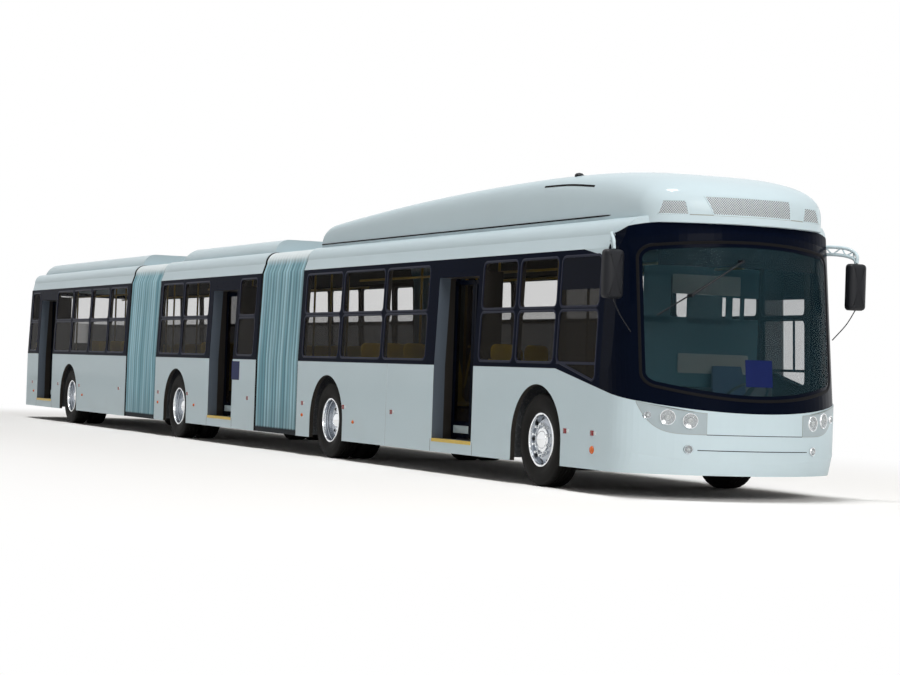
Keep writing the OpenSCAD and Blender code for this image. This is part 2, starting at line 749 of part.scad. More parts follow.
module knuckle() {
    reach = boss_half + run_gap + fork_t;
    translate([axle1_x, king_y, axle_z]) {
        translate([0, 0, -reach]) cylinder(h = 2 * reach, r = king_r);
        for (top = [0, 1]) mirror([0, 0, top]) translate([0, 0, boss_half + run_gap]) {
            cylinder(h = fork_t, r = boss_r);
            translate([-boss_r, 0, 0]) cube([2 * boss_r, boss_r + run_gap + fork_t, fork_t]);
        }
        translate([-boss_r, boss_r + run_gap, -reach]) cube([2 * boss_r, fork_t, 2 * reach]);
        translate([0, boss_r + run_gap, 0]) rotate([-90, 0, 0])
            cylinder(h = wheel_y - king_y - boss_r - run_gap, r = spindle_r);
    }
}
module left_knuckle() { color("gray") knuckle(); }
module right_knuckle() { color("gray") mirror([0, 1, 0]) knuckle(); }

// Wheels: profiles turned about the axle, the outer face towards +Y
tread_r = 34;
side_bulge = 16;
bead_w_share = 0.78;
rim_wall = 14;
flat_r = 205;
dish_cone = 42;
hand_hole_r = 21;
hand_ring_r = 238;
cap_r = 98;
cap_h = 46;
dish_t = 16;
hub_r = 132;
nut_r = 18;
nut_ring_d = 335;
nut_len = 22;
stud_r = 11;
stud_len = 52;
nuts = 10;
module tyre_face() {
    seat = rim_d / 2;
    shoulder = tyre_d / 2 - tread_r;
    half = tyre_w / 2;
    bead = half * bead_w_share;
    wall_side = [for (k = [0:oval_steps]) let (s = k / oval_steps, swell = sin(2 * quarter * s))
        [seat + (shoulder - seat) * s,
         k < oval_steps / 2 ? bead + (half - bead) * swell : half - side_bulge * (1 - swell)]];
    edge = concat(wall_side,
                  arc([shoulder, half - side_bulge - tread_r], tread_r, quarter, 0, corner_steps, 1));
    polygon(concat(edge, [for (p = reversed(edge)) [p.x, -p.y]]));
}
module rim_face(dish_y, cone) {
    seat = rim_d / 2 - seat_gap;
    well = seat - rim_wall;
    bead = tyre_w / 2 * bead_w_share;
    polygon([[well, -bead], [seat, -bead], [seat, bead], [well, bead], [well, dish_y + dish_t - cone],
             [flat_r, dish_y + dish_t], [hub_r - dish_t, dish_y + dish_t], [hub_r - dish_t, dish_y],
             [flat_r, dish_y], [well, dish_y - cone]]);
}
module turned(x, y) { translate([x, y, axle_z]) rotate([-90, 0, 0]) rotate_extrude($fn = 96) children(); }
module tyres(x, places) { color("#1c1c1e") for (y = places) turned(x, y) tyre_face(); }
module hub_bore(x) {
    translate([x, 0, axle_z]) rotate([-90, 0, 0]) cylinder(h = wheel_y + seat_gap, r = spindle_r + pin_gap);
}
front_dish_y = tyre_w / 4;
hub_out = 104;
module hand_holes(x) {
    for (k = [0:nuts - 1]) translate([x, 0, axle_z]) rotate([0, (2 * k + 1) * 2 * quarter / nuts, 0])
        translate([0, 0, hand_ring_r]) rotate([-quarter, 0, 0]) cylinder(h = half_w, r = hand_hole_r);
}
module hub_cap(x, y) { turned(x, y) polygon(concat([[0, 0]], quarter_oval(cap_r, 0, cap_h, 2), [[0, cap_h]])); }
module front_rim() {
    difference() {
        union() {
            turned(axle1_x, wheel_y) rim_face(front_dish_y, dish_cone);
            translate([axle1_x, wheel_y - hub_len / 2, axle_z]) rotate([-90, 0, 0])
                cylinder(h = hub_len / 2 + hub_out, r = hub_r);
            hub_cap(axle1_x, wheel_y + hub_out);
            nut_ring(axle1_x, wheel_y + front_dish_y + dish_t);
        }
        hub_bore(axle1_x);
        hand_holes(axle1_x);
    }
}
module nut_ring(x, y) {
    for (k = [0:nuts - 1]) translate([x, y, axle_z]) rotate([0, k * 4 * quarter / nuts, 0])
        translate([0, -dish_t / 2, nut_ring_d / 2]) rotate([-90, 0, 0]) {
            cylinder(h = dish_t / 2 + nut_len, r = nut_r, $fn = 6);
            cylinder(h = dish_t / 2 + stud_len, r = stud_r);
        }
}
dish_out = 26;
module twin_rims(x) {
    outer_dish = -tyre_w / 4;
    inner_dish = tyre_w / 4;
    difference() {
        union() {
            turned(x, wheel_y) rim_face(outer_dish, -dish_cone);
            turned(x, twin_y) rim_face(inner_dish - dish_t, dish_cone);
            translate([x, twin_y - hub_len / 2, axle_z]) rotate([-90, 0, 0])
                cylinder(h = twin_pitch + hub_len / 2 + dish_out, r = hub_r);
            hub_cap(x, wheel_y + dish_out);
            nut_ring(x, wheel_y + outer_dish + dish_t);
        }
        hub_bore(x);
        hand_holes(x);
    }
}
module front_left_tyre() { tyres(axle1_x, [wheel_y]); }
module front_left_rim() { color("silver") front_rim(); }
module front_right_tyre() { mirror([0, 1, 0]) tyres(axle1_x, [wheel_y]); }
module front_right_rim() { color("silver") mirror([0, 1, 0]) front_rim(); }
module drive_left_tyres() { tyres(axle2_x, [wheel_y, twin_y]); }
module drive_left_rims() { color("silver") twin_rims(axle2_x); }
module drive_right_tyres() { mirror([0, 1, 0]) tyres(axle2_x, [wheel_y, twin_y]); }
module drive_right_rims() { color("silver") mirror([0, 1, 0]) twin_rims(axle2_x); }
module middle_left_tyres() { tyres(axle3_x, [wheel_y, twin_y]); }
module middle_left_rims() { color("silver") twin_rims(axle3_x); }
module middle_right_tyres() { mirror([0, 1, 0]) tyres(axle3_x, [wheel_y, twin_y]); }
module middle_right_rims() { color("silver") mirror([0, 1, 0]) twin_rims(axle3_x); }
module rear_left_tyres() { tyres(axle4_x, [wheel_y, twin_y]); }
module rear_left_rims() { color("silver") twin_rims(axle4_x); }
module rear_right_tyres() { mirror([0, 1, 0]) tyres(axle4_x, [wheel_y, twin_y]); }
module rear_right_rims() { color("silver") mirror([0, 1, 0]) twin_rims(axle4_x); }

// Door leaves: a framed pane on a post by the jamb, the fore leaf mirrored
leaf_lift = 20;
stile_w = 55;
kick_h = 150;
pane_t = 8;
post_r = 22;
leaf_gap = 5;
post_in = 36;
leaf_y = -half_w + door_recess + leaf_t / 2;
module door_leaf(door_x) {
    jamb_x = door_x - door_w / 2;
    low_z = floor_z + leaf_lift;
    high_z = door_top_z - leaf_lift;
    difference() {
        union() {
            box([jamb_x + run_gap, leaf_y - leaf_t / 2, low_z],
                [door_x - leaf_gap, leaf_y + leaf_t / 2, high_z]);
            translate([jamb_x + post_in, leaf_y, floor_z + seat_gap])
                cylinder(h = door_top_z - floor_z - 2 * seat_gap, r = post_r);
        }
        for (side = [0, 1]) mirror([0, side, 0]) translate([0, side * -2 * leaf_y, 0])
            along_y(leaf_y + pane_t / 2, leaf_y + leaf_t)
                polygon(round_box([jamb_x + post_in + stile_w, low_z + kick_h],
                                  [door_x - leaf_gap - stile_w, high_z - stile_w], stile_w / 2));
    }
}
module fore_leaf(door_x) { translate([2 * door_x, 0, 0]) mirror([1, 0, 0]) door_leaf(door_x); }
module front_door_back_leaf() { color("midnightblue") door_leaf(front_door_x); }
module front_door_fore_leaf() { color("midnightblue") fore_leaf(front_door_x); }
module middle_door_back_leaf() { color("midnightblue") door_leaf(middle_door_x); }
module middle_door_fore_leaf() { color("midnightblue") fore_leaf(middle_door_x); }
module rear_door_back_leaf() { color("midnightblue") door_leaf(rear_door_x); }
module rear_door_fore_leaf() { color("midnightblue") fore_leaf(rear_door_x); }

// Engine: one plain block in its cover on the left, behind the first axle
engine_back = 2300;
engine_len = 1700;
engine_w = 620;
engine_h = 830;
module engine_block() {
    color("gray") box([axle1_x - engine_back - engine_len, half_w - wall - engine_w - run_gap, floor_z],
                      [axle1_x - engine_back, half_w - wall - run_gap, floor_z + engine_h]);
}

// Seats: an extruded side outline on a pedestal, with a grab pole up to the ceiling
seat_w = 860;
seat_depth = 440;
seat_h = 430;
seat_pad_t = 60;
seat_back_h = 560;
seat_back_lean = 70;
seat_foot = 180;
pole_r = 17;
seat_behind = seat_back_lean + seat_pad_t;
row_gap = 115;
seat_pitch = 690;
ceiling_z = shoulder_z + shoulder_r - wall;
module seat(x, y0, y1, base_z) {
    foot_y = (y0 + y1) / 2;
    translate([x, 0, base_z]) {
        along_y(y0, y1) polygon([
            [0, seat_h - seat_pad_t], [seat_depth, seat_h - seat_pad_t], [seat_depth, seat_h],
            [seat_pad_t, seat_h],
            [-seat_back_lean, seat_h + seat_back_h], [-seat_back_lean - seat_pad_t, seat_h + seat_back_h]]);
        box([seat_foot / 2, foot_y - seat_foot, 0],
            [seat_foot / 2 + seat_foot, foot_y + seat_foot, seat_h - seat_pad_t]);
    }
}
module seat_pair(x) {
    y1 = half_w - wall - run_gap;
    y0 = y1 - seat_w;
    seat(x, y0, y1, floor_z);
    translate([x + pole_r, y0 + pole_r, floor_z + seat_h - seat_pad_t])
        cylinder(h = ceiling_z - floor_z - seat_gap - seat_h + seat_pad_t, r = pole_r);
}
// As many rows as fit between two places
function rows(x0, x1) = [
    for (k = [0:1:floor((x1 - x0 - row_gap - seat_behind - seat_depth) / seat_pitch)])
        x0 + row_gap + seat_behind + k * seat_pitch];
module seats(left, right) {
    for (x = left) seat_pair(x);
    for (x = right) mirror([0, 1, 0]) seat_pair(x);
}
driver_y = 620;
driver_half = 240;
driver_fore = 830;
module front_seats() {
    engine_x = axle1_x - engine_back;
    left = concat(rows(axle2_x + pit_half, engine_x - engine_len), rows(engine_x, axle1_x - pit_half));
    right = concat(rows(axle2_x + pit_half, front_door_x - portal_half),
                   rows(front_door_x + portal_half, axle1_x - pit_half));
    color("goldenrod") {
        seats(left, right);
        seat(axle1_x + driver_fore, driver_y - driver_half, driver_y + driver_half, floor_z);
    }
}
module middle_seats() {
    color("goldenrod")
        seats(rows(axle3_x + pit_half, mid_start_x), rows(axle3_x + pit_half, middle_door_x - portal_half));
}
module rear_seats() {
    ahead = rows(axle4_x + pit_half, rear_start_x);
    color("goldenrod") seats(concat(ahead, rows(tail_seam_x, axle4_x - pit_half)),
                             concat(ahead, rows(tail_seam_x, rear_door_x - portal_half)));
}

// Dashboard: an extruded side outline across the nose, with the steering column and wheel on the left
dash_back = 1000;
dash_front = 480;
dash_h = 620;
dash_top_share = 0.55;
dash_half_w = 820;
column_len = 450;
column_r = 28;
column_tilt = 38;
steer_r = 240;
steer_grip_r = 15;
module dashboard() {
    color("darkslategray") {
        along_y(-dash_half_w, dash_half_w) polygon([
            [nose_x - dash_front, floor_z], [nose_x - dash_front, floor_z + dash_h],
            [nose_x - dash_front - (dash_back - dash_front) * dash_top_share, floor_z + dash_h],
            [nose_x - dash_back, floor_z + dash_h / 2], [nose_x - dash_back, floor_z]]);
        translate([nose_x - dash_back, driver_y, floor_z + dash_h / 2]) rotate([0, -column_tilt, 0]) {
            translate([0, 0, -column_r]) cylinder(h = column_len, r = column_r);
            translate([0, 0, column_len - column_r]) {
                rotate_extrude($fn = 64) translate([steer_r, 0]) circle(steer_grip_r, $fn = 24);
                translate([-steer_r, -column_r, -steer_grip_r / 2])
                    cube([2 * steer_r, 2 * column_r, steer_grip_r]);
            }
        }
    }
}

// Mirrors: a lattice arm of two chords and braces from the upper corner, and a tall head below its end
arm_root_back = 950;
arm_rises = [45, 125];
arm_out = 150;
arm_fore = 450;
arm_r = 16;
brace_r = 9;
arm_knee_r = 24;
arm_drop = 90;
brace_shares = [0.14, 0.42, 0.66, 0.86];
cove_slope = (cove_in - lean) / (shoulder_z - band_top_z);
arm_tip = [nose_x - arm_root_back + arm_fore, half_w + arm_out, band_top_z + arm_rises[0]];
head_h = 490;
head_w = 220;
head_t = 110;
head_r = 40;
function cove_y(rise) = half_w - lean - cove_slope * (rise - arm_knee_r) + seat_gap;
function arm_root(rise) = [nose_x - arm_root_back, cove_y(rise) + arm_r, band_top_z + rise];
function between(p, q, share) = p + (q - p) * share;
module mirror_arms() {
    roots = [for (rise = arm_rises) arm_root(rise)];
    color("azure") for (side = [0, 1]) mirror([0, side, 0]) {
        for (root = roots) {
            rod(root, arm_tip, arm_r);
            translate([root.x, root.y - arm_r, root.z]) rotate([-quarter, 0, 0])
                cylinder(h = 2 * arm_r, r = arm_knee_r);
        }
        for (k = [0:len(brace_shares) - 2])
            rod(between(roots[k % 2], arm_tip, brace_shares[k]),
                between(roots[(k + 1) % 2], arm_tip, brace_shares[k + 1]), brace_r);
        translate(arm_tip) sphere(arm_knee_r);
        translate(arm_tip - [0, 0, arm_drop]) cylinder(h = arm_drop, r = arm_r);
    }
}
module mirror_heads() {
    color("#202226") for (side = [0, 1]) mirror([0, side, 0])
        translate(arm_tip - [0, 0, arm_drop + seat_gap + head_h]) linear_extrude(head_h)
            polygon(round_box([-head_t / 2, -head_w / 2], [head_t / 2, head_w / 2], head_r));
}

// Wiper: an arm hung from the top of the screen, a link and the blade; places are shares of the screen's
// half width and height
wiper_r = 9;
wiper_boss_r = 16;
blade_r = 7;
arm_proud = 66;
blade_proud = 42;
wiper_top_share = [-0.138, 0.875];
wiper_link_share = [-0.538, 0.650];
blade_top_share = [-0.338, 0.764];
blade_tip_share = [-0.769, 0.519];
function on_screen(share, proud) =
    let (y = half_w * share.x, z = screen_low_z + (screen_top_z - screen_low_z) * share.y)
    [nose_x + (bow_x(y) - nose_x) / cos(rake) - (z - mask_z) * tan(rake) + proud, y, z];
// The flat end of the boss rests on the curved glass by its edge
function boss_lift(y) = wiper_boss_r * norm([tan(rake), y / round_x(bow_r, y)]) + seat_gap - glass_in;
module wiper() {
    color("#202226") {
        rod(on_screen(wiper_top_share, arm_proud), on_screen(wiper_link_share, arm_proud), wiper_r);
        rod(on_screen(wiper_top_share, boss_lift(half_w * wiper_top_share.x)),
            on_screen(wiper_top_share, arm_proud + wiper_boss_r), wiper_boss_r);
        rod(on_screen(blade_top_share, blade_proud), on_screen(blade_tip_share, blade_proud), blade_r);
        rod(on_screen(wiper_link_share, blade_proud - 2 * wiper_boss_r),
            on_screen(wiper_link_share, arm_proud + wiper_boss_r), wiper_boss_r);
    }
}

front_platform();
engine_block();
front_axle_beam();
drive_axle();
front_sides();
front_roof();
front_fascia();
screen_surround();
windscreen();
front_glass();
front_roof_pod();
headlamps();
mirror_arms();
mirror_heads();
wiper();
dashboard();
front_seats();
left_knuckle();
right_knuckle();
front_left_tyre();
front_left_rim();
front_right_tyre();
front_right_rim();
drive_left_tyres();
drive_left_rims();
drive_right_tyres();
drive_right_rims();
middle_left_tyres();
middle_left_rims();
middle_right_tyres();
middle_right_rims();
rear_left_tyres();
rear_left_rims();
rear_right_tyres();
rear_right_rims();
front_door_back_leaf();
front_door_fore_leaf();
middle_door_back_leaf();
middle_door_fore_leaf();
rear_door_back_leaf();
rear_door_fore_leaf();
front_bellows();
middle_platform();
middle_axle();
middle_sides();
middle_roof();
middle_roof_pod();
middle_glass();
middle_seats();
rear_bellows();
rear_platform();
rear_axle();
rear_sides();
rear_wall();
rear_roof();
rear_roof_pod();
rear_glass();
rear_seats();
tail_lamps();
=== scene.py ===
import bpy
import bmesh
import math
import numpy as np
from mathutils import Matrix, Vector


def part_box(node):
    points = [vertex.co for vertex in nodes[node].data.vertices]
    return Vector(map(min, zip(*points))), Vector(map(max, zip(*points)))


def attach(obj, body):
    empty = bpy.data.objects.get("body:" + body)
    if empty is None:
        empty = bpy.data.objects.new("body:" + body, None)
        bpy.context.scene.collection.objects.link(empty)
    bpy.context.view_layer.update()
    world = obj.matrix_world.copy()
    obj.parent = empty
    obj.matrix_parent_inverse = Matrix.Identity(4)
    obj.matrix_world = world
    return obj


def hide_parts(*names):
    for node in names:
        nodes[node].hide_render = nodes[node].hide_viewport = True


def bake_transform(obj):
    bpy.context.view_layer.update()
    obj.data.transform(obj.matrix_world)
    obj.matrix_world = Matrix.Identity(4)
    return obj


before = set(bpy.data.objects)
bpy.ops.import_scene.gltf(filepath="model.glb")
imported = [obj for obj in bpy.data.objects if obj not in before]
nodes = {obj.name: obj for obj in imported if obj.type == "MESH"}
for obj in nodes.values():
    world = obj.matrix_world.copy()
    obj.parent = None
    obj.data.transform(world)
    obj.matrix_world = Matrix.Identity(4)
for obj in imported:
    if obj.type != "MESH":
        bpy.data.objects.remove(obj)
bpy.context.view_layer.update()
print("frame loaded,", len(nodes), "nodes")


# Places read from the frame, in metres
def span(node, axis):  # a node's low and high end along an axis
    low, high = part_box(node)
    return low[axis], high[axis]


def middle(node, axis):  # halfway between its two ends
    return sum(span(node, axis)) / 2


sectionSpan = {name: span(name + "_sides", 0) for name in ("front", "middle", "rear")}
sides = (1, -1)  # left and right
body = dict(
    halfWide=span("middle_sides", 1)[1],
    skirt=span("middle_sides", 2)[0],
    bandTop=span("middle_sides", 2)[1],
    roof=span("middle_roof", 2)[1],
    nose=span("front_fascia", 0)[1],
    tail=span("rear_wall", 0)[0],
    belt=1.27, lean=0.05, floor=0.40,
    shoulderR=0.178, coveIn=0.097, shoulderDrop=0.225,
    bowR=1.75, cornerR=0.45, rake=math.radians(7), maskZ=0.87,
    tailBowR=2.9, tailCornerR=0.33)
axleX = {
    "front": middle("front_left_tyre", 0), "drive": middle("drive_left_tyres", 0),
    "middle": middle("middle_left_tyres", 0), "rear": middle("rear_left_tyres", 0)}
tyreR = span("front_left_tyre", 2)[1] / 2
wheelY = middle("front_left_tyre", 1)


# Height z on a side wall gives the skin's half width: upright to the belt, then leaning in to the band's top
def skinY(z):
    share = np.clip((z - body["belt"]) / (body["bandTop"] - body["belt"]), 0, 1)
    return body["halfWide"] - body["lean"] * share


# Places (along, up, out) on the skin, each turned into points
def onSide(side):
    return lambda u, v, h: np.stack([u, side * (skinY(v) + h), v], -1)


# Length t along a bowed end from its centre: first the bow's arc, then the corner's arc, both by their angle
def bowedEnd(t, bowR, cornerR, half):
    swing = math.asin((half - cornerR) / (bowR - cornerR))
    along = np.abs(t)
    onBow = along < bowR * swing
    angle = np.where(onBow, along / bowR, swing + (along - bowR * swing) / cornerR)
    radius = np.where(onBow, bowR, cornerR)
    centreX = np.where(onBow, 0.0, (bowR - cornerR) * math.cos(swing)) - bowR
    centreY = np.where(onBow, 0.0, half - cornerR)
    sign = np.sign(t)
    return (centreX + radius * np.cos(angle), sign * (centreY + radius * np.sin(angle)),
            np.cos(angle), sign * np.sin(angle))


def onNose(t, z, h):  # the upright lower nose
    back, y, acrossX, acrossY = bowedEnd(t, body["bowR"], body["cornerR"], body["halfWide"])
    return np.stack([body["nose"] + back + h * acrossX, y + h * acrossY, z + 0 * t], -1)


def onScreen(t, z, h):  # the upper nose, turned back by the rake about the mask's foot
    back, y, acrossX, acrossY = bowedEnd(t, body["bowR"], body["cornerR"], body["halfWide"])
    depth = back + h * acrossX
    climb = (z - body["maskZ"] - depth * math.sin(body["rake"])) / math.cos(body["rake"])
    x = body["nose"] + depth * math.cos(body["rake"]) - climb * math.sin(body["rake"])
    return np.stack([x, y + h * acrossY, z + 0 * t], -1)


def onTail(t, z, h):  # the tail, bowed the other way
    back, y, acrossX, acrossY = bowedEnd(t, body["tailBowR"], body["tailCornerR"], body["halfWide"])
    return np.stack([body["tail"] - back - h * acrossX, y + h * acrossY, z + 0 * t], -1)


# Mesh making

# Quads of a grid: each cell joins a point to its neighbours along both parameters
def gridQuads(rows, cols, wrapRows, wrapCols):
    a, b = np.meshgrid(np.arange(rows - (not wrapRows)), np.arange(cols - (not wrapCols)), indexing="ij")
    a2, b2 = (a + 1) % rows, (b + 1) % cols
    return np.stack([a * cols + b, a2 * cols + b, a2 * cols + b2, a * cols + b2], -1).reshape(-1, 4)


noTris = np.zeros((0, 3), int)


def closedGrid(points):  # a grid that closes along both parameters
    rows, cols = points.shape[:2]
    return points.reshape(-1, 3), gridQuads(rows, cols, True, True), noTris


# Rings one after another, joined into a skin, each end closed by a fan from its middle
def cappedRings(points):
    rows, cols = points.shape[:2]
    verts = np.concatenate([points.reshape(-1, 3), points[:1].mean(1), points[-1:].mean(1)])
    ring = np.arange(cols)
    after = (ring + 1) % cols
    first = np.stack([ring, after, np.full(cols, rows * cols)], -1)
    lastRow = (rows - 1) * cols
    last = np.stack([after + lastRow, ring + lastRow, np.full(cols, rows * cols + 1)], -1)
    return verts, gridQuads(rows, cols, False, True), np.concatenate([first, last])


# A sheet with a thickness: an outer and an inner grid joined along all four edges
def thickSheet(outer, inner):
    rows, cols = outer.shape[:2]
    points = np.concatenate([outer, inner[:, ::-1]], 1)
    strip = np.arange(cols - 1)
    cap = np.stack([strip, strip + 1, 2 * cols - 2 - strip, 2 * cols - 1 - strip], -1)
    quads = np.concatenate([gridQuads(rows, 2 * cols, False, True), cap, cap + (rows - 1) * 2 * cols])
    return points.reshape(-1, 3), quads, noTris


# A panel between two edge lines: u runs along it, the height runs from low(u) to high(u)
def panel(u, low, high, place, top, bottom, steps=3):
    across = np.linspace(0, 1, steps)
    v = low[:, None] + (high - low)[:, None] * across
    wide = np.broadcast_to(u[:, None], v.shape)
    return thickSheet(place(wide, v, np.full(v.shape, top)), place(wide, v, np.full(v.shape, bottom)))


# A rounded rectangle: four quarter arcs, one after another, counter-clockwise; drop lowers the last corner
def roundRect(u0, v0, u1, v1, r, steps=6, drop=0.0):
    a = np.linspace(0, math.pi / 2, steps + 1)
    centres = np.array([[u1 - r, v1 - r], [u0 + r, v1 - r], [u0 + r, v0 + r], [u1 - r, v0 + r - drop]])
    turn = a[None] + np.arange(4)[:, None] * math.pi / 2
    return (centres[:, None] + r * np.stack([np.cos(turn), np.sin(turn)], -1)).reshape(-1, 2)


def finer(outline, step):  # more points on the long straights of a closed outline
    loop = np.concatenate([outline, outline[:1]])
    run = np.concatenate([[0], np.cumsum(np.linalg.norm(np.diff(loop, axis=0), axis=1))])
    places = np.union1d(run[:-1], np.arange(0, run[-1] - step / 2, step))
    return np.stack([np.interp(places, run, loop[:, k]) for k in (0, 1)], -1)


def outwards(outline):  # unit normals of a counter-clockwise outline
    along = np.roll(outline, -1, 0) - np.roll(outline, 1, 0)
    along = along / np.linalg.norm(along, axis=1, keepdims=True)
    return np.stack([along[:, 1], -along[:, 0]], -1)


# A closed profile (across, out) carried round a closed outline
def carried(outline, profile, place):
    profile = np.asarray(profile)
    spot = outline[:, None] + outwards(outline)[:, None] * profile[None, :, :1]
    return closedGrid(place(spot[..., 0], spot[..., 1], np.broadcast_to(profile[None, :, 1], spot.shape[:2])))


# A closed outline drawn in by an inset at each height: rows of (inset, out)
def slab(outline, rows, place):
    rows = np.asarray(rows)
    spot = outline[None] - outwards(outline)[None] * rows[:, None, :1]
    return cappedRings(place(spot[..., 0], spot[..., 1], np.broadcast_to(rows[:, None, 1], spot.shape[:2])))


# A circle of a radius carried along a path, its sides set by the path's direction and an upward hint
def tube(path, radius, corners=10, up=(0, 0, 1)):
    path = np.asarray(path, float)
    along = np.gradient(path, axis=0)
    along /= np.linalg.norm(along, axis=1, keepdims=True)
    side = np.cross(along, np.asarray(up, float))
    side /= np.linalg.norm(side, axis=1, keepdims=True)
    top = np.cross(side, along)
    a = np.linspace(0, 2 * math.pi, corners, endpoint=False)[None, :, None]
    reach = np.broadcast_to(np.asarray(radius, float), (len(path),))[:, None, None]
    return cappedRings(path[:, None] + reach * (np.cos(a) * side[:, None] + np.sin(a) * top[:, None]))


# A profile (radius, out) turned about an axis through a point: a ring if it is closed, else a capped solid
def spun(profile, origin, axis, segments=48, ringShape=False):
    profile = np.asarray(profile, float)
    axis = np.asarray(axis, float) / np.linalg.norm(axis)
    hint = np.array([0, 0, 1.0]) if abs(axis[2]) < 0.9 else np.array([1.0, 0, 0])
    first = np.cross(hint, axis)
    first /= np.linalg.norm(first)
    second = np.cross(axis, first)
    a = np.linspace(0, 2 * math.pi, segments, endpoint=False)[None, :, None]
    points = (np.asarray(origin, float) + profile[:, None, 1:] * axis
              + profile[:, None, :1] * (np.cos(a) * first + np.sin(a) * second))
    return closedGrid(points) if ringShape else cappedRings(points)


def smoothPath(points, count):  # a smooth curve through given points, each stretch eased by a cubic
    points = np.asarray(points, float)
    padded = np.concatenate([2 * points[:1] - points[1:2], points, 2 * points[-1:] - points[-2:-1]])
    t = np.linspace(0, len(points) - 1 - 1e-6, count)
    k = t.astype(int)
    f = (t - k)[:, None]
    a, b, c, d = padded[k], padded[k + 1], padded[k + 2], padded[k + 3]
    square, cube = 2 * a - 5 * b + 4 * c - d, 3 * b - a - 3 * c + d
    return 0.5 * (2 * b + (c - a) * f + square * f ** 2 + cube * f ** 3)


def buildMesh(name, parts):  # parts are (points, quads, triangles), joined into one mesh
    starts = np.concatenate([[0], np.cumsum([len(p[0]) for p in parts])])[:-1]
    verts = np.concatenate([p[0] for p in parts])
    quads = np.concatenate([p[1] + s for p, s in zip(parts, starts)])
    tris = np.concatenate([p[2] + s for p, s in zip(parts, starts)])
    mesh = bpy.data.meshes.new(name)
    mesh.vertices.add(len(verts))
    mesh.vertices.foreach_set("co", verts.astype(np.float32).ravel())
    mesh.loops.add(quads.size + tris.size)
    mesh.loops.foreach_set("vertex_index", np.concatenate([quads.ravel(), tris.ravel()]).astype(np.int32))
    mesh.polygons.add(len(quads) + len(tris))
    loopStart = np.concatenate([np.arange(len(quads)) * 4, quads.size + np.arange(len(tris)) * 3])
    mesh.polygons.foreach_set("loop_start", loopStart.astype(np.int32))
    mesh.update(calc_edges=True)
    mesh.validate()
    return mesh


# A piece: its parts in one mesh, with a finish, the body that carries it and the nodes it replaces
def addPiece(name, parts, finish, bodyName="front_section", replaced=(), sharpAngle=40):
    mesh = buildMesh(name, parts)
    shape = bmesh.new()
    shape.from_mesh(mesh)
    bmesh.ops.recalc_face_normals(shape, faces=shape.faces)
    shape.to_mesh(mesh)
    shape.free()
    mesh.polygons.foreach_set("use_smooth", np.ones(len(mesh.polygons), bool))
    mesh.set_sharp_from_angle(angle=math.radians(sharpAngle))
    mesh.materials.append(finishes[finish])
    piece = bpy.data.objects.new(name, mesh)
    bpy.context.scene.collection.objects.link(piece)
    if bodyName:
        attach(piece, bodyName)
    if replaced:
        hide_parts(*replaced)
    return piece


# Finishes

class Wire:  # one shader socket, so that maths on it reads as plain sums
    def __init__(self, tree, socket):
        self.tree = tree
        self.socket = socket

    def node(self, kind, settings, sockets, out=0):
        made = self.tree.nodes.new(kind)
        for key, value in settings.items():
            setattr(made, key, value)
        for key, value in sockets.items():
            if isinstance(value, Wire):
                self.tree.links.new(value.socket, made.inputs[key])
            else:
                made.inputs[key].default_value = value
        return Wire(self.tree, made.outputs[out])

    def maths(self, operation, other=0.0):
        return self.node("ShaderNodeMath", {"operation": operation}, {0: self, 1: other})

    def __add__(self, other):
        return self.maths("ADD", other)

    def __sub__(self, other):
        return self.maths("SUBTRACT", other)

    def __rsub__(self, other):
        return self.node("ShaderNodeMath", {"operation": "SUBTRACT"}, {0: other, 1: self})

    def __mul__(self, other):
        return self.maths("MULTIPLY", other)

    __radd__ = __add__
    __rmul__ = __mul__

    def rise(self, low, high):  # 0 below low, 1 above high, eased between
        return self.node("ShaderNodeMapRange", {"interpolation_type": "SMOOTHSTEP"},
                         {"Value": self, "From Min": low, "From Max": high})

    def ramp(self, low, high):  # the same with a straight slope
        return self.node("ShaderNodeMapRange", {}, {"Value": self, "From Min": low, "From Max": high})

    def noise(self, scale, detail=3.0, stretch=(1, 1, 1)):  # self is a place
        moved = self.node("ShaderNodeMapping", {}, {"Vector": self, "Scale": stretch})
        return self.node("ShaderNodeTexNoise", {}, {"Vector": moved, "Scale": scale, "Detail": detail})

    def split(self):
        made = self.node("ShaderNodeSeparateXYZ", {}, {0: self})
        return [Wire(self.tree, made.socket.node.outputs[k]) for k in range(3)]

    def mix(self, first, second):  # self is the share of the second colour
        return self.node("ShaderNodeMix", {"data_type": "RGBA"}, {0: self, 6: first, 7: second}, 2)

    def bump(self, strength, distance):
        return self.node("ShaderNodeBump", {}, {"Strength": strength, "Distance": distance, "Height": self})


# A new finish: fixed numbers go on the shader; gives the material, the place and a way to feed sockets
def newFinish(name, fixed):
    material = bpy.data.materials.new(name)
    material.use_nodes = True
    tree = material.node_tree
    shader = tree.nodes["Principled BSDF"]
    for key, value in fixed.items():
        shader.inputs[key].default_value = value
    place = Wire(tree, tree.nodes.new("ShaderNodeTexCoord").outputs["Object"])
    return material, place, lambda key, wire: tree.links.new(wire.socket, shader.inputs[key])


def shade(colour, factor):  # a colour made darker or paler
    return tuple(c * factor for c in colour[:3]) + (1.0,)


paint = dict(
    pale=(0.58, 0.70, 0.75, 1), dust=(0.36, 0.36, 0.33, 1), navy=(0.0020, 0.0038, 0.0110, 1), coat=0.25,
    # lining and jamb are painted shade: lining on the walls' cut edges and inner faces, jamb in the doorway
    # reveals
    lining=(0.040, 0.036, 0.032, 1), jamb=(0.12, 0.148, 0.185, 1), jambWide=0.05, jambDeep=0.15,
    sweepBack=1.98, cornerBack=0.44, cornerRise=0.10,
    capZ=span("screen_surround", 2)[1] - 0.02, capRise=0.105, capX=(11.52, 12.02))
beltFall = body["belt"] - body["maskZ"] - paint["cornerRise"]
beltSlope = beltFall / (paint["sweepBack"] - paint["cornerBack"])
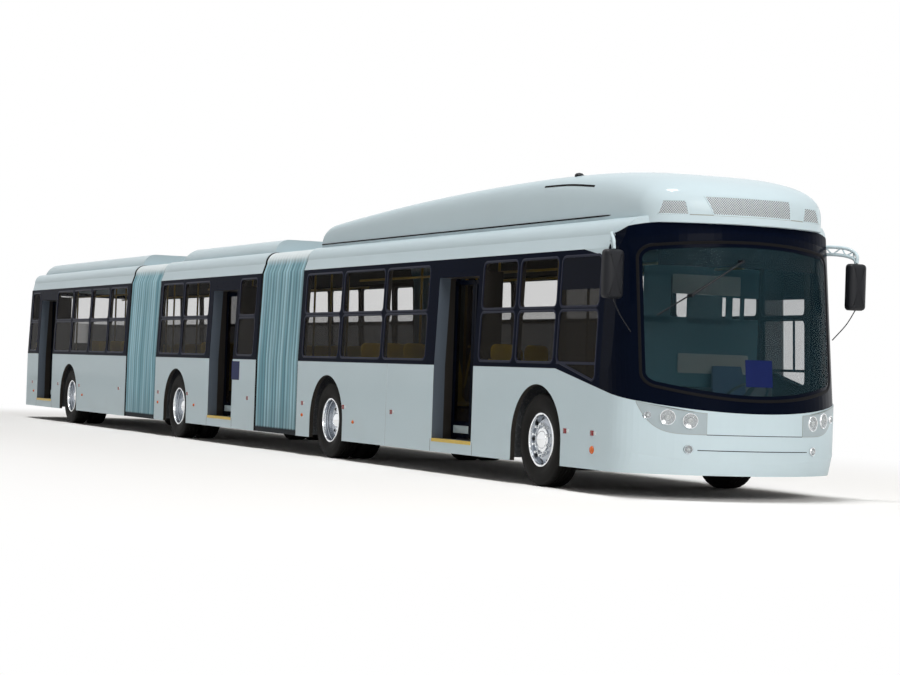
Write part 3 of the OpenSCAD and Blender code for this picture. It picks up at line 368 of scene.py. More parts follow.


# Paint: pale with a faint road film; it may add the window band, the screen's cap, or painted shade on the
# cut edges, the inner faces and the doorway reveals
def glossPaint(name, banded=False, edges=False, capped=False):
    material, place, feed = newFinish(
        name, {"Coat Weight": paint["coat"], "Coat Roughness": 0.06, "Specular IOR Level": 0.006})
    x, y, z = place.split()
    cloud = place.noise(0.9)
    speck = place.noise(42.0, 4.0)
    film = (1.0 - z.rise(0.25, 0.75)) * cloud.rise(0.35, 0.75) * 0.14
    tone = film.mix(cloud.mix(shade(paint["pale"], 0.97), shade(paint["pale"], 1.03)), paint["dust"])
    if banded:
        swept = x.ramp(body["nose"] - paint["sweepBack"], body["nose"] - paint["cornerBack"])
        band = (z - (body["belt"] - beltFall * swept)).rise(-0.003, 0.003)
        tone = band.mix(tone, cloud.mix(paint["navy"], shade(paint["navy"], 1.6)))
        feed("Coat Weight", paint["coat"] * (1.0 - band))
    if edges:
        lean = (z - body["belt"]).maths("MAXIMUM") * (body["lean"] / (body["bandTop"] - body["belt"]))
        depth = body["halfWide"] - lean - y.maths("ABSOLUTE")  # how far inside the skin
        inside = depth.rise(0.004, 0.010)  # painted shade on the cut edges and the inner faces
        tone = inside.mix(tone, paint["lining"])
        outer = inside * (1.0 - (depth - paint["jambDeep"]).rise(-0.004, 0.004)) * (1.0 - y.rise(-0.1, 0.1))
        strip = outer * z.rise(body["floor"], body["floor"] + 0.01)
        for section in sectionSpan:  # painted shade in the outer strip of each doorway's rear edge, a blue-grey darker than the paint
            near = (x - span(section + "_door_back_leaf", 0)[0]).maths("ABSOLUTE")
            jamb = strip * (1.0 - near.rise(paint["jambWide"], paint["jambWide"] + 0.01))
            tone = jamb.mix(tone, paint["jamb"])
    if capped:
        edge = paint["capZ"] + paint["capRise"] * x.rise(*paint["capX"])
        cap = x.rise(paint["capX"][0] - 0.01, paint["capX"][0] + 0.01) * (edge - z).rise(-0.002, 0.002)
        tone = cap.mix(tone, paint["navy"])
        feed("Coat Weight", paint["coat"] * (1.0 - cap))
    feed("Base Color", tone)
    feed("Roughness", 0.24 + 0.10 * speck + 0.25 * film)
    feed("Normal", place.noise(160.0, 2.0).bump(0.05, 0.002))
    return material


# A plain finish: its colour clouded, its roughness and its bump by the grain
def gloss(name, colour, rough, grain, fixed=None, depth=0.001, strength=0.1, vary=0.18):
    material, place, feed = newFinish(name, fixed or {})
    cloud = place.noise(grain * 0.12, 2.0)
    speck = place.noise(grain, 4.0)
    feed("Base Color", (0.5 * cloud + 0.5 * speck).mix(shade(colour, 1 - vary), shade(colour, 1 + vary)))
    feed("Roughness", rough - 0.06 + 0.12 * speck)
    feed("Normal", speck.bump(strength, depth))
    return material


panes = dict(hopperZ=1.905, cabX=10.55, driverX=10.92, cabDark=0.78, cabClear=0.10)


# Glass: thin and tinted, less clear where dusty; hoppers may be clearer and the left's lower panes darker
def glass(name, colour, clear, upperClear=None, leftClear=0.0):
    material, place, feed = newFinish(name, {"Roughness": 0.03, "IOR": 1.5, "Specular IOR Level": 0.02})
    dust = place.noise(1.6, 2.0)
    solid = 1.0 - clear + 0.03 * dust
    if upperClear:
        x, y, z = place.split()
        left = y.rise(-0.1, 0.1)
        upper = (z - panes["hopperZ"]).rise(-0.004, 0.004)
        solid = upper * (1.0 - upperClear) + (1.0 - upper) * (solid + (clear - leftClear) * left)
        cab = (x - panes["cabX"]).rise(-0.01, 0.01)  # clear at the driver, dark across from it
        driver = left * (x - panes["driverX"]).rise(-0.01, 0.01)
        cabSolid = panes["cabDark"] - (panes["cabDark"] - panes["cabClear"]) * driver
        solid = solid * (1.0 - cab) + cab * cabSolid
    feed("Base Color", dust.mix(shade(colour, 0.8), shade(colour, 1.3)))
    feed("Alpha", solid)
    return material


def lens(name, colour, ribs):  # moulded lamp plastic with fine upright ribs
    material, place, feed = newFinish(name, {"Coat Weight": 0.3, "Specular IOR Level": 0.2})
    x, y, z = place.split()
    wave = ((x + y + 0.6 * z) * ribs).maths("SINE")
    feed("Base Color", (0.5 + 0.5 * wave).mix(shade(colour, 0.6), shade(colour, 1.25)))
    feed("Roughness", 0.14 + 0.06 * place.noise(30.0))
    feed("Normal", wave.bump(0.15, 0.001))
    return material


def rubber(name):  # near black, clouded, with a fine grain
    material, place, feed = newFinish(name, {"Specular IOR Level": 0.10})
    cloud = place.noise(5.0)
    speck = place.noise(220.0, 4.0)
    feed("Base Color", cloud.mix((0.005, 0.005, 0.005, 1), (0.015, 0.014, 0.013, 1)))
    feed("Roughness", 0.58 + 0.25 * speck)
    feed("Normal", speck.bump(0.25, 0.002))
    return material


def polished(name, colour, rough):  # metal with fine turning marks and clouded wear
    material, place, feed = newFinish(name, {"Metallic": 1.0})
    cloud = place.noise(7.0)
    marks = place.noise(60.0, 3.0, (1, 9, 1))
    feed("Base Color", cloud.mix(shade(colour, 0.85), shade(colour, 1.1)))
    feed("Roughness", rough + 0.10 * marks + 0.08 * cloud)
    feed("Normal", marks.bump(0.04, 0.001))
    return material


def pleatCloth(name):  # coated cloth with painted shade in the folds and painted highlight streaks, greyer low down with a dark hem, and a fine weave
    material, place, feed = newFinish(
        name, {"Sheen Weight": 0.2, "Sheen Roughness": 0.5, "Specular IOR Level": 0.25})
    x, y, z = place.split()
    cloud = place.noise(2.2)
    weave = ((x * 900.0).maths("SINE") * ((y + z) * 900.0).maths("SINE")) * 0.5 + 0.5
    film = (1.0 - z.rise(0.3, 0.9)) * 0.25 + 0.1 * cloud
    # upright pale streaks: painted highlights on random pleats, with random tone
    streakHighlight = place.noise(34.0, 3.0, (1, 0.01, 0.01)).rise(0.34, 0.66)
    fold = place.node("ShaderNodeAttribute", {"attribute_name": "fold"}, {}, "Fac")
    cloth = film.mix(streakHighlight.mix((0.22, 0.45, 0.54, 1), (0.52, 0.80, 0.89, 1)), (0.20, 0.26, 0.28, 1))
    # painted shade: darker deep in each fold
    foldShaded = (fold.rise(0.03, 0.55) * 0.8).mix(cloth, (0.08, 0.13, 0.15, 1))
    topped = (z.rise(2.60, 2.74) * (1.0 - 0.5 * fold)).mix(foldShaded, (0.80, 0.86, 0.88, 1))  # paler on top, less so in the folds
    feed("Base Color", z.rise(0.31, 0.34).mix((0.03, 0.035, 0.04, 1), topped))
    feed("Roughness", 0.62 + 0.15 * cloud)
    feed("Normal", weave.bump(0.12, 0.001))
    return material


def perforated(name):  # pale sheet with rows of round holes, painted dark as the shade behind them
    material, place, feed = newFinish(name, {})
    x, y, z = place.split()
    row = ((y + z + 0.5 * x) * 118.0).maths("SINE") * ((y - z + 0.6 * x) * 118.0).maths("SINE")
    holeShade = row.maths("ABSOLUTE").rise(0.25, 0.45)
    feed("Base Color", holeShade.mix((0.62, 0.68, 0.70, 1), (0.15, 0.17, 0.19, 1)))
    feed("Roughness", 0.42 + 0.2 * holeShade)
    feed("Normal", (1.0 - holeShade).bump(0.5, 0.003))
    return material


def vinylFloor(name):  # grey with paler flecks
    material, place, feed = newFinish(name, {})
    fleck = place.noise(110.0, 2.0).rise(0.56, 0.66)
    feed("Base Color", fleck.mix((0.10, 0.11, 0.12, 1), (0.26, 0.27, 0.28, 1)))
    feed("Roughness", 0.5 + 0.2 * place.noise(6.0))
    feed("Normal", place.noise(90.0).bump(0.08, 0.001))
    return material


finishes = dict(
    panel=glossPaint("pale_paint"), side=glossPaint("pale_paint_dark_band_and_painted_edge_shade", True, True),
    tail=glossPaint("tail_paint", True), cap=glossPaint("pale_paint_and_screen_cap", capped=True),
    navy=gloss("navy_gloss", (0.002, 0.0038, 0.0105), 0.18, 60.0, {"Specular IOR Level": 0.015}, 0.0005,
               0.03),
    trim=gloss("window_trim", (0.016, 0.019, 0.036), 0.4, 90.0, {"Specular IOR Level": 0.05}),
    sideGlass=glass("smoked_glass", (0.010, 0.008, 0.005), 0.62, 0.88, 0.22),
    doorGlass=glass("door_glass", (0.010, 0.008, 0.006), 0.42),
    screenGlass=glass("screen_glass", (0.020, 0.048, 0.062), 0.74),
    lens=glass("lamp_glass", (0.50, 0.54, 0.56), 0.80),
    tyre=rubber("tyre_rubber"),
    seal=gloss("black_rubber", (0.006, 0.006, 0.007), 0.6, 150.0, {"Specular IOR Level": 0.06}),
    rim=polished("polished_wheel", (0.40, 0.43, 0.47), 0.14),
    chrome=polished("bright_metal", (0.86, 0.88, 0.90), 0.03),
    nut=polished("plated_nuts", (0.72, 0.74, 0.75), 0.12),
    silver=gloss("silver_paint", (0.56, 0.62, 0.65), 0.26, 30.0, {"Metallic": 0.3, "Coat Weight": 0.3},
                 0.0003, 0.02, 0.03),
    lampBack=gloss("lamp_backing", (0.40, 0.47, 0.50), 0.3, 30.0, {"Specular IOR Level": 0.1},
                   0.0003, 0.02, 0.03),
    dash=gloss("dash_grey", (0.060, 0.075, 0.068), 0.6, 160.0, None, 0.001, 0.15),
    chassis=gloss("chassis_black", (0.014, 0.013, 0.013), 0.62, 40.0, {"Specular IOR Level": 0.15}),
    plastic=gloss("black_plastic", (0.010, 0.011, 0.014), 0.42, 220.0, {"Specular IOR Level": 0.2},
                  0.001, 0.2),
    bellows=pleatCloth("bellows_cloth"), grille=perforated("perforated_sheet"),
    floor=vinylFloor("speckled_vinyl"),
    seat=gloss("seat_plastic", (0.80, 0.55, 0.03), 0.4, 180.0, None, 0.001, 0.15),
    cushion=gloss("seat_cloth", (0.035, 0.07, 0.14), 0.85, 260.0, {"Sheen Weight": 0.3}, 0.002, 0.3),
    yellow=gloss("yellow_powder_coat", (0.62, 0.42, 0.02), 0.36, 140.0, None, 0.0008, 0.12),
    lining=gloss("grey_lining", (0.045, 0.042, 0.040), 0.6, 120.0, {"Specular IOR Level": 0.2}),
    teal=gloss("partition_green", (0.030, 0.095, 0.115), 0.45, 100.0),
    blue=gloss("blue_sheet", (0.005, 0.012, 0.075), 0.5, 90.0, {"Specular IOR Level": 0.1}),
    board=gloss("cab_board", (0.30, 0.32, 0.29), 0.6, 90.0),
    # pole: the yellow darkened to less than half, painted shade for the poles and rails in the bus
    pole=gloss("yellow_with_painted_shade", (0.26, 0.17, 0.012), 0.45, 140.0),
    red=lens("red_reflector", (0.24, 0.004, 0.008), 420.0),
    amber=lens("amber_lens", (0.62, 0.12, 0.012), 300.0),
    white=lens("white_reflector", (0.72, 0.75, 0.76), 420.0),
    tailRed=lens("tail_lens", (0.30, 0.006, 0.010), 160.0),
    mirrorGlass=polished("mirror_glass", (0.9, 0.92, 0.94), 0.0))
print("finishes made,", len(finishes))

nodeFinish = dict(
    floor=("front_platform", "middle_platform", "rear_platform"),
    chassis=("engine_block", "front_axle_beam", "drive_axle", "middle_axle", "rear_axle", "left_knuckle",
             "right_knuckle"),
    side=("front_sides", "middle_sides", "rear_sides"), tail=("rear_wall",),
    cap=("front_roof",),
    panel=("middle_roof", "rear_roof", "front_fascia", "middle_roof_pod", "rear_roof_pod"),
    navy=("screen_surround",), screenGlass=("windscreen",),
    sideGlass=("front_glass", "middle_glass", "rear_glass"),
    dash=("dashboard",), tailRed=("tail_lamps",), plastic=("wiper",))
for finishName, names in nodeFinish.items():
    for name in names:
        nodes[name].data.materials.clear()
        nodes[name].data.materials.append(finishes[finishName])

# Camera: it looks along its yaw and pitch, and is turned about that line by its roll

camera = dict(
    place=(31.331, -12.101, 1.213), yaw=-24.694, pitch=0.845, roll=1.929, focalPixels=2217.75, wide=900)


def addCamera():
    yaw, pitch, roll = (math.radians(camera[k]) for k in ("yaw", "pitch", "roll"))
    ahead = np.array([-math.cos(yaw) * math.cos(pitch), -math.sin(yaw) * math.cos(pitch), math.sin(pitch)])
    right = np.cross(ahead, [0, 0, 1])
    right /= np.linalg.norm(right)
    up = np.cross(right, ahead)
    across = math.cos(roll) * right + math.sin(roll) * up
    above = -math.sin(roll) * right + math.cos(roll) * up
    data = bpy.data.cameras.new("camera")
    data.sensor_width = 36
    data.lens = data.sensor_width * camera["focalPixels"] / camera["wide"]
    data.clip_end = 500
    seen = bpy.data.objects.new("camera", data)
    turn = Matrix((across, above, -ahead)).transposed().to_4x4()
    seen.matrix_world = Matrix.Translation(camera["place"]) @ turn
    bpy.context.scene.collection.objects.link(seen)
    bpy.context.scene.camera = seen


addCamera()
bpy.context.scene.view_settings.view_transform = "Standard"
print("camera set")

# Window trims, and the screen's seal and border

windows = dict(
    sill=1.33, transom=1.90, transomWide=0.034, head=2.45, pillar=0.076, cornerR=0.07,
    trim=[(-0.014, -0.010), (-0.014, 0.0), (-0.008, 0.004), (0.008, 0.004), (0.013, 0.0), (0.013, -0.010)],
    doorRoom=dict(front=(0.196, 0.049), middle=(0.115, 0.062), rear=(0.063, 0.021)), jamb=0.036,
    behind=dict(front=(0.0, 0.33, 0.67, 1.0), middle=(0.0, 0.47, 1.0), rear=(0.0, 1.0)),
    ahead=dict(front=(0.0, 0.33, 0.67, 1.0), middle=(0.0, 1.0), rear=(0.0, 0.25, 0.51, 0.76, 1.0)),
    endGap=0.105, pillarGap=0.070, tailHalf=0.78, tailSill=1.50,
    screenHalf=0.87, screenLow=1.00, screenTop=2.60, screenR=0.15, screenLowBow=4.4, screenTopBow=9.0,
    seal=[(-0.020, -0.008), (-0.020, -0.002), (-0.010, 0.003), (0.008, 0.003), (0.012, -0.001),
          (0.012, -0.008)],
    border=[(-0.055, -0.0065), (-0.055, -0.0050), (0.0, -0.0050), (0.0, -0.0065)])
portal = {name: (span(name + "_door_back_leaf", 0)[0] - windows["jamb"],
                 span(name + "_door_fore_leaf", 0)[1] + windows["jamb"]) for name in sectionSpan}


def blindBay(section):  # the bay across from the door
    back, fore = windows["doorRoom"][section]
    return portal[section][0] - back, portal[section][1] + fore


def sideBays(section):  # bays as shares of the stretches behind and ahead of the door
    start, end = sectionSpan[section]
    blind = blindBay(section)
    rearStart = start + windows["endGap"]
    rear = rearStart + np.array(windows["behind"][section]) * (blind[0] - rearStart)
    foreEnd = end - (windows["pillarGap"] if section == "front" else windows["endGap"])
    fore = blind[1] + np.array(windows["ahead"][section]) * (foreEnd - blind[1])
    return [*zip(rear[:-1], rear[1:]), *zip(fore[:-1], fore[1:])]


def clearOf(bay):  # a bay less half a pillar at each end
    return bay[0] + windows["pillar"] / 2, bay[1] - windows["pillar"] / 2


# Fixed pane below, hopper above; the sill follows the dark band's sweep down at the front
def paneOutlines(bay):
    left, right = clearOf(bay)
    half, r = windows["transomWide"] / 2, windows["cornerR"]
    drop = max(0.0, right - body["nose"] + paint["sweepBack"]) * beltSlope
    return [finer(roundRect(left, windows["sill"], right, windows["transom"] - half, r, 6, drop), 0.3),
            roundRect(left, windows["transom"] + half, right, windows["head"], r)]


def bowLength(y, bowR):  # length along a bow's arc that reaches a place across
    return bowR * np.arcsin(y / bowR)


for section in sectionSpan:
    trims = [carried(outline, windows["trim"], onSide(side))
             for side in sides for bay in sideBays(section) for outline in paneOutlines(bay)]
    trims += [carried(outline, windows["trim"], onSide(1)) for outline in paneOutlines(blindBay(section))]
    addPiece(section + "_window_trims", trims, "trim", section + "_section")

tailHalf = bowLength(windows["tailHalf"] * body["halfWide"], body["tailBowR"])
tailRect = roundRect(-tailHalf, windows["tailSill"], tailHalf, windows["head"], windows["cornerR"])
tailTrim = carried(finer(tailRect, 0.08), windows["trim"], onTail)
addPiece("tail_window_trim", [tailTrim], "trim", "rear_section")


# Half an edge from its middle to its side: a wide bow, then a corner, by their angles; gives across and fall
def bowedEdge(half, bowR, r, steps=16):
    swing = math.asin((half - r) / (bowR - r))
    bow, corner = np.linspace(0, swing, steps), np.linspace(swing, math.pi / 2, steps)[1:]
    across = np.concatenate([bowR * np.sin(bow), half - r + r * np.sin(corner)])
    cornerFall = bowR - (bowR - r) * math.cos(swing) - r * np.cos(corner)
    fall = np.concatenate([bowR * (1 - np.cos(bow)), cornerFall])
    return np.stack([across, fall], -1)


def screenEdge():  # counter-clockwise from the middle of the lower edge
    half = windows["screenHalf"] * body["halfWide"]
    lower = bowedEdge(half, windows["screenLowBow"], windows["screenR"]) + (0, windows["screenLow"])
    upper = bowedEdge(half, windows["screenTopBow"], windows["screenR"]) * (1, -1) + (0, windows["screenTop"])
    right = np.concatenate([lower, upper[::-1]])
    outline = finer(np.concatenate([right, right[-2:0:-1] * (-1, 1)]), 0.06)
    return np.stack([bowLength(outline[:, 0], body["bowR"]), outline[:, 1]], -1)


screenOutline = screenEdge()
addPiece("screen_seal", [carried(screenOutline, windows["seal"], onScreen)], "seal")
addPiece("screen_border", [carried(screenOutline, windows["border"], onScreen)], "navy")
print("window trims made")

# Signs, and the bars of the cab's side windows

signs = dict(
    box=(-1.02, 1.02, 2.34, 2.585), boxSkin=(-0.045, -0.055),
    square=(-0.152, 0.165, 1.145, 1.415), squareSkin=(-0.0050, -0.0065),
    sideSquare=(0.146, 0.488, 0.966, 1.241), sideSkin=(0.0008, -0.001),
    bayLow=2.10, bayDrop=0.004, baySkin=(-0.0015, -0.0025),
    barShare=0.66, barHalf=0.016, railZ=1.33, railHalf=0.014, barSkin=(0.002, -0.008))


def plate(u0, u1, low, high, place, top, bottom, steps=24):  # a thin plate on a surface, between two heights
    u = np.linspace(u0, u1, steps)
    return panel(u, np.full(steps, low), np.full(steps, high), place, top, bottom, 8)


addPiece("destination_box", [plate(*signs["box"], onScreen, *signs["boxSkin"])], "seal")
addPiece("screen_square", [plate(*signs["square"], onScreen, *signs["squareSkin"])], "blue")
addPiece("side_square", [plate(*signs["sideSquare"], onSide(-1), *signs["sideSkin"])], "blue",
         "middle_section")
lastBay = sideBays("front")[-1]
bayEnds, bayTop = clearOf(lastBay), windows["head"] - signs["bayDrop"]
baySigns = [plate(*bayEnds, signs["bayLow"], bayTop, onSide(side), *signs["baySkin"]) for side in sides]
addPiece("bay_signs", baySigns, "navy")
barX = lastBay[0] + (lastBay[1] - lastBay[0]) * signs["barShare"]
barLow, barHigh = signs["railZ"] - signs["railHalf"], signs["railZ"] + signs["railHalf"]
bars = [plate(barX - signs["barHalf"], barX + signs["barHalf"], signs["railZ"], windows["transom"], onSide(1),
              *signs["barSkin"])]
bars += [plate(*bayEnds, barLow, barHigh, onSide(side), *signs["barSkin"]) for side in sides]
addPiece("cab_window_bars", bars, "trim")
print("signs made")

# Panel seams, reflectors and marker lamps on the skirts

skirts = dict(
    seams=[6.005], seamHalf=0.003, seamLift=0.004, seamDrop=0.006, seamSkin=(0.0008, -0.001),
    reflectors=dict(front=[(3.10, 0.70), (4.59, 0.69), (6.17, 0.674), (10.79, 0.62), (11.385, 0.62)],
                    middle=[(0.865, 0.71), (-1.942, 0.71), (-3.462, 0.70)],
                    rear=[(-5.75, 0.71), (-8.30, 0.71), (-9.80, 0.71), (-11.75, 0.71)]),
    markers=dict(front=[(3.12, 0.54, 0.022), (4.95, 0.507, 0.022), (11.397, 0.449, 0.040)],
                 middle=[(-1.572, 0.541, 0.022), (-3.442, 0.536, 0.022)],
                 rear=[(-8.05, 0.54, 0.022), (-11.60, 0.54, 0.022)]),
    redHalf=(0.036, 0.027), whiteHalf=(0.022, 0.018), whiteAhead=0.064, reflectorR=0.006,
    reflectorRows=[(0, -0.002), (0, 0.004), (0.003, 0.006)])


def reflector(x, z, half, side):  # a small block with rounded corners and a chamfered face
    outline = roundRect(x - half[0], z - half[1], x + half[0], z + half[1], skirts["reflectorR"], 3)
    return slab(outline, skirts["reflectorRows"], onSide(side))


def marker(x, z, r, side):  # a round dome on a short collar
    profile = [(r, -0.002), (r, 0.008), (0.9 * r, 0.014), (0.6 * r, 0.020), (0.25 * r, 0.023)]
    return spun(profile, onSide(side)(np.array(x), np.array(z), np.array(0.0)), (0, side, 0), 24)


for section in sectionSpan:
    owner = section + "_section"
    spots = skirts["reflectors"][section]
    reds = [reflector(x, z, skirts["redHalf"], side) for x, z in spots for side in sides]
    whites = [reflector(x + skirts["whiteAhead"], z, skirts["whiteHalf"], side)
              for x, z in spots for side in sides]
    markers = [marker(x, z, r, side) for x, z, r in skirts["markers"][section] for side in sides]
    addPiece(section + "_red_reflectors", reds, "red", owner)
    addPiece(section + "_white_reflectors", whites, "white", owner)
    addPiece(section + "_side_markers", markers, "amber", owner)


def seam(x, top, side):  # an upright line from the skirt's foot to a height
    low, half = body["skirt"] + skirts["seamLift"], skirts["seamHalf"]
    return plate(x - half, x + half, low, top, onSide(side), *skirts["seamSkin"], 2)


seams = [seam(x, body["belt"] - skirts["seamDrop"], side) for x in skirts["seams"] for side in sides]
addPiece("skirt_seams", seams, "silver")
for section, ends in portal.items():  # gaps beside the step below each door
    gaps = [seam(x, body["floor"], -1) for x in ends]
    addPiece(section + "_step_gaps", gaps, "seal", section + "_section")
print("skirt details made")

# Bellows: a body outline drawn in and out in pleats along the bus, open below

bellows = dict(
    pleats=15, stepsEach=10, ridgeIn=0.012, valleyIn=0.098, foldPower=0.8, cloth=0.008,
    frameLong=0.045, frameDeep=0.055, frameLap=0.002, frameIn=(0.004, 0.012))


# Outline across the bus, mirrored: upright wall, leaning band, cove, shoulder by its angle, flat top
def sectionOutline():
    shoulderZ = body["roof"] - body["shoulderDrop"]
    shoulderY = body["halfWide"] - body["coveIn"] - body["shoulderR"]
    wall = np.stack([np.full(7, body["halfWide"]), np.linspace(body["skirt"], body["belt"], 7)], -1)
    heights = np.linspace(body["belt"], body["bandTop"], 8)[1:]
    band = np.stack([skinY(heights), heights], -1)
    a = np.linspace(0, math.pi / 2, 9)
    shoulder = body["shoulderR"] * np.stack([np.cos(a), np.sin(a)], -1) + (shoulderY, shoulderZ)
    top = np.stack([np.linspace(shoulderY, 0, 8)[1:], np.full(7, shoulderZ + body["shoulderR"])], -1)
    half = np.concatenate([wall, band, shoulder, top])
    return np.concatenate([half, half[-2::-1] * (-1, 1)])


def insetOutline(depth):  # the outline drawn in along its own normals, one ring per depth
    outline = sectionOutline()
    along = np.gradient(outline, axis=0)
    along /= np.linalg.norm(along, axis=1, keepdims=True)
    inward = np.stack([-along[:, 1], along[:, 0]], -1)
    return outline[None] + inward[None] * np.asarray(depth)[:, None, None]


def acrossBus(x, rings):  # rings of (y, z) set at their places along the bus
    return np.concatenate([np.broadcast_to(np.asarray(x)[:, None, None], rings.shape[:2] + (1,)), rings], -1)


# Pleats: the inset runs from ridge to valley by a raised cosine along the gap; gives the sheet and its folds
def pleatedSheet(start, end):
    u = np.linspace(0, 1, bellows["pleats"] * bellows["stepsEach"] + 1)
    fold = (0.5 + 0.5 * np.cos(2 * math.pi * bellows["pleats"] * u)) ** bellows["foldPower"]
    depth = bellows["ridgeIn"] + (bellows["valleyIn"] - bellows["ridgeIn"]) * fold
    x = start + (end - start) * u
    rings = insetOutline(depth)
    sheet = thickSheet(acrossBus(x, rings), acrossBus(x, insetOutline(depth + bellows["cloth"])))
    return sheet, np.repeat(fold, 2 * rings.shape[1])


def endFrame(x, outward):  # a band of the outline, between a small inset and a deep one
    ends = np.array([x - bellows["frameLap"] * outward, x + bellows["frameLong"] * outward])
    skins = (insetOutline(depth) for depth in (bellows["frameIn"], [bellows["frameDeep"]] * 2))
    return thickSheet(*(acrossBus(ends, rings) for rings in skins))


for name, ahead, behind in (("front", "front", "middle"), ("rear", "middle", "rear")):
    rear, fore = sectionSpan[behind][1], sectionSpan[ahead][0]
    cloth, fold = pleatedSheet(rear, fore)
    sheet = addPiece(name + "_bellows_cloth", [cloth], "bellows", None, (name + "_bellows",), 75)
    # the fold share, which the cloth's finish turns into painted shade in the folds
    sheet.data.attributes.new("fold", "FLOAT", "POINT").data.foreach_set("value", fold.astype(np.float32))
    ahead + "_section"
    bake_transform(sheet)
    for section, x, outward in ((ahead, fore, -1), (behind, rear, 1)):
        addPiece(name + "_bellows_frame_" + section, [endFrame(x, outward)], "seal",
                 section + "_section")
print("bellows made")

# Front pod: a long shell with a domed nose, grilles in the nose, a slot and an aerial on the right

pod = dict(
    tip=span("front_roof_pod", 0)[1], back=span("front_roof_pod", 0)[0],
    halfWide=span("front_roof_pod", 1)[1], lipReach=0.90, lipRise=0.004, lipHigh=0.009,
    base=body["roof"] - 0.11, lip=body["roof"] - 0.04, top=body["roof"] + 0.52, backTop=body["roof"] + 0.27,
    topX=body["nose"] - 3.10, bowR=1.5, cornerR=0.42, tailLong=0.32, tailShare=0.5, swell=0.045,
    nosePower=3.0, sidePower=7.0, tipPower=2.6,
    grilles=[(-0.49, 0.40, 0.012, 0.20, -0.08, 0.0), (0.59, 0.88, 0.008, 0.15, 0.03, -0.06),
             (-0.98, -0.72, 0.008, 0.15, 0.04, -0.03)],
    grilleEdge=[(-0.007, -0.008), (-0.007, 0.002), (-0.003, 0.005), (0.003, 0.005), (0.006, 0.002),
                (0.006, -0.008)], grilleSkin=(0.002, -0.006),
    slot=[(9.53, 3.27), (10.11, 3.256), (10.68, 3.21)], slotHalf=0.011, aerial=(9.98, -0.80),
    aerialShape=[(0.05, -0.02), (0.05, 0.012), (0.034, 0.028), (0.006, 0.034)],
    footR=0.009, footDrop=0.002, lineSkin=(0.0015, -0.004))
podBowX = pod["tip"] - pod["bowR"]
podSwing = math.asin((pod["halfWide"] - pod["cornerR"]) / (pod["bowR"] - pod["cornerR"]))
podCornerX = podBowX + (pod["bowR"] - pod["cornerR"]) * math.cos(podSwing)


# Half width at x: full, then the corner's arc, then the bow's arc to the tip, with an eased swell at the nose
def podWide(x):
    arc = np.clip(pod["cornerR"] ** 2 - np.clip(x - podCornerX, 0, None) ** 2, 0, None)
    corner = pod["halfWide"] - pod["cornerR"] + np.sqrt(arc)
    bow = np.sqrt(np.clip(pod["bowR"] ** 2 - (x - podBowX) ** 2, 0, None))
    swell = np.clip((x - podBowX) / (podCornerX - podBowX), 0, 1)
    half = np.where(x < podBowX + pod["bowR"] * math.cos(podSwing), corner, bow)
    return half * (1 + pod["swell"] * swell ** 2 * (3 - 2 * swell))


def podAlong(x):  # share of the way from the top to the tip
    return np.clip((x - pod["topX"]) / (pod["tip"] - pod["topX"]), 0, 1)


# Height of the middle at x: falls by a square behind the top, a cubic oval ahead, a quarter oval at the tail
def podCrest(x):
    power = pod["nosePower"]
    fore = pod["lip"] + (pod["top"] - pod["lip"]) * (1 - podAlong(x) ** power) ** (1 / power)
    fall = np.clip((pod["topX"] - x) / (pod["topX"] - pod["back"]), 0, 1) ** 2
    crest = np.where(x > pod["topX"], fore, pod["top"] - (pod["top"] - pod["backTop"]) * fall)
    near = np.clip((pod["back"] + pod["tailLong"] - x) / pod["tailLong"], 0, 1)
    tail = pod["tailShare"] + (1 - pod["tailShare"]) * np.sqrt(1 - near ** 2)
    return pod["lip"] + (crest - pod["lip"]) * tail


def podPower(x):  # power of the ring's oval: boxy along the sides, rounder to the tip
    return pod["sidePower"] + (pod["tipPower"] - pod["sidePower"]) * podAlong(x)


# Ring across the bus at each x: an oval of the power n by its angle, over a short upright foot
def podShell():
    stretches = [np.linspace(0, 1, count, endpoint=False) for count in (12, 40, 40)]
    ends = [pod["back"], pod["back"] + pod["tailLong"], pod["topX"], podCornerX]
    noseX = podCornerX + (pod["tip"] - podCornerX) * np.sin(np.linspace(0, 0.494 * math.pi, 44))
    runs = [a + (b - a) * s for a, b, s in zip(ends[:-1], ends[1:], stretches)]
    x = np.concatenate([*runs, noseX])[:, None]
    a = np.linspace(0, math.pi, 73)[None]
    reach, lift = (np.abs(wave) ** (2 / podPower(x)) for wave in (np.cos(a), np.sin(a)))
    y = podWide(x) * np.sign(np.cos(a)) * reach
    z = pod["lip"] + (podCrest(x) - pod["lip"]) * lift
    shell = np.stack([x + 0 * a, y, z], -1)
    foot = [np.stack([x, side * podWide(x), pod["base"] + 0 * x], -1) for side in sides]
    return cappedRings(np.concatenate([foot[0], shell, foot[1]], 1))


def podHeight(x, y):  # height of the shell over a place
    share = np.clip(np.abs(y) / np.maximum(podWide(x), 1e-6), 0, 1)
    return pod["lip"] + (podCrest(x) - pod["lip"]) * (1 - share ** podPower(x)) ** (1 / podPower(x))


# The shell's front at a place across and up, found by halving, and moved out along its slope
def onPodNose(y, z, h):
    near, far = np.full(y.shape, podCornerX - pod["cornerR"]), np.full(y.shape, pod["tip"])
    for halving in range(40):
        x = (near + far) / 2
        under = podHeight(x, y) > z
        near, far = np.where(under, x, near), np.where(under, far, x)
    step = 0.002
    level = podHeight(x, y)
    fallX, fallY = podHeight(x - step, y) - level, podHeight(x, y - step) - level
    slope = np.stack([fallX, fallY, np.full(y.shape, step)], -1)
    slope /= np.linalg.norm(slope, axis=-1, keepdims=True)
    return np.stack([x, y, z + 0 * y], -1) + slope * h[..., None]


def onPodSide(x, z, h):  # the right wall at a place along and up
    lift = (z - pod["lip"]) / (podCrest(x) - pod["lip"])
    return np.stack([x, -podWide(x) * (1 - lift ** podPower(x)) ** (1 / podPower(x)) - h, z], -1)


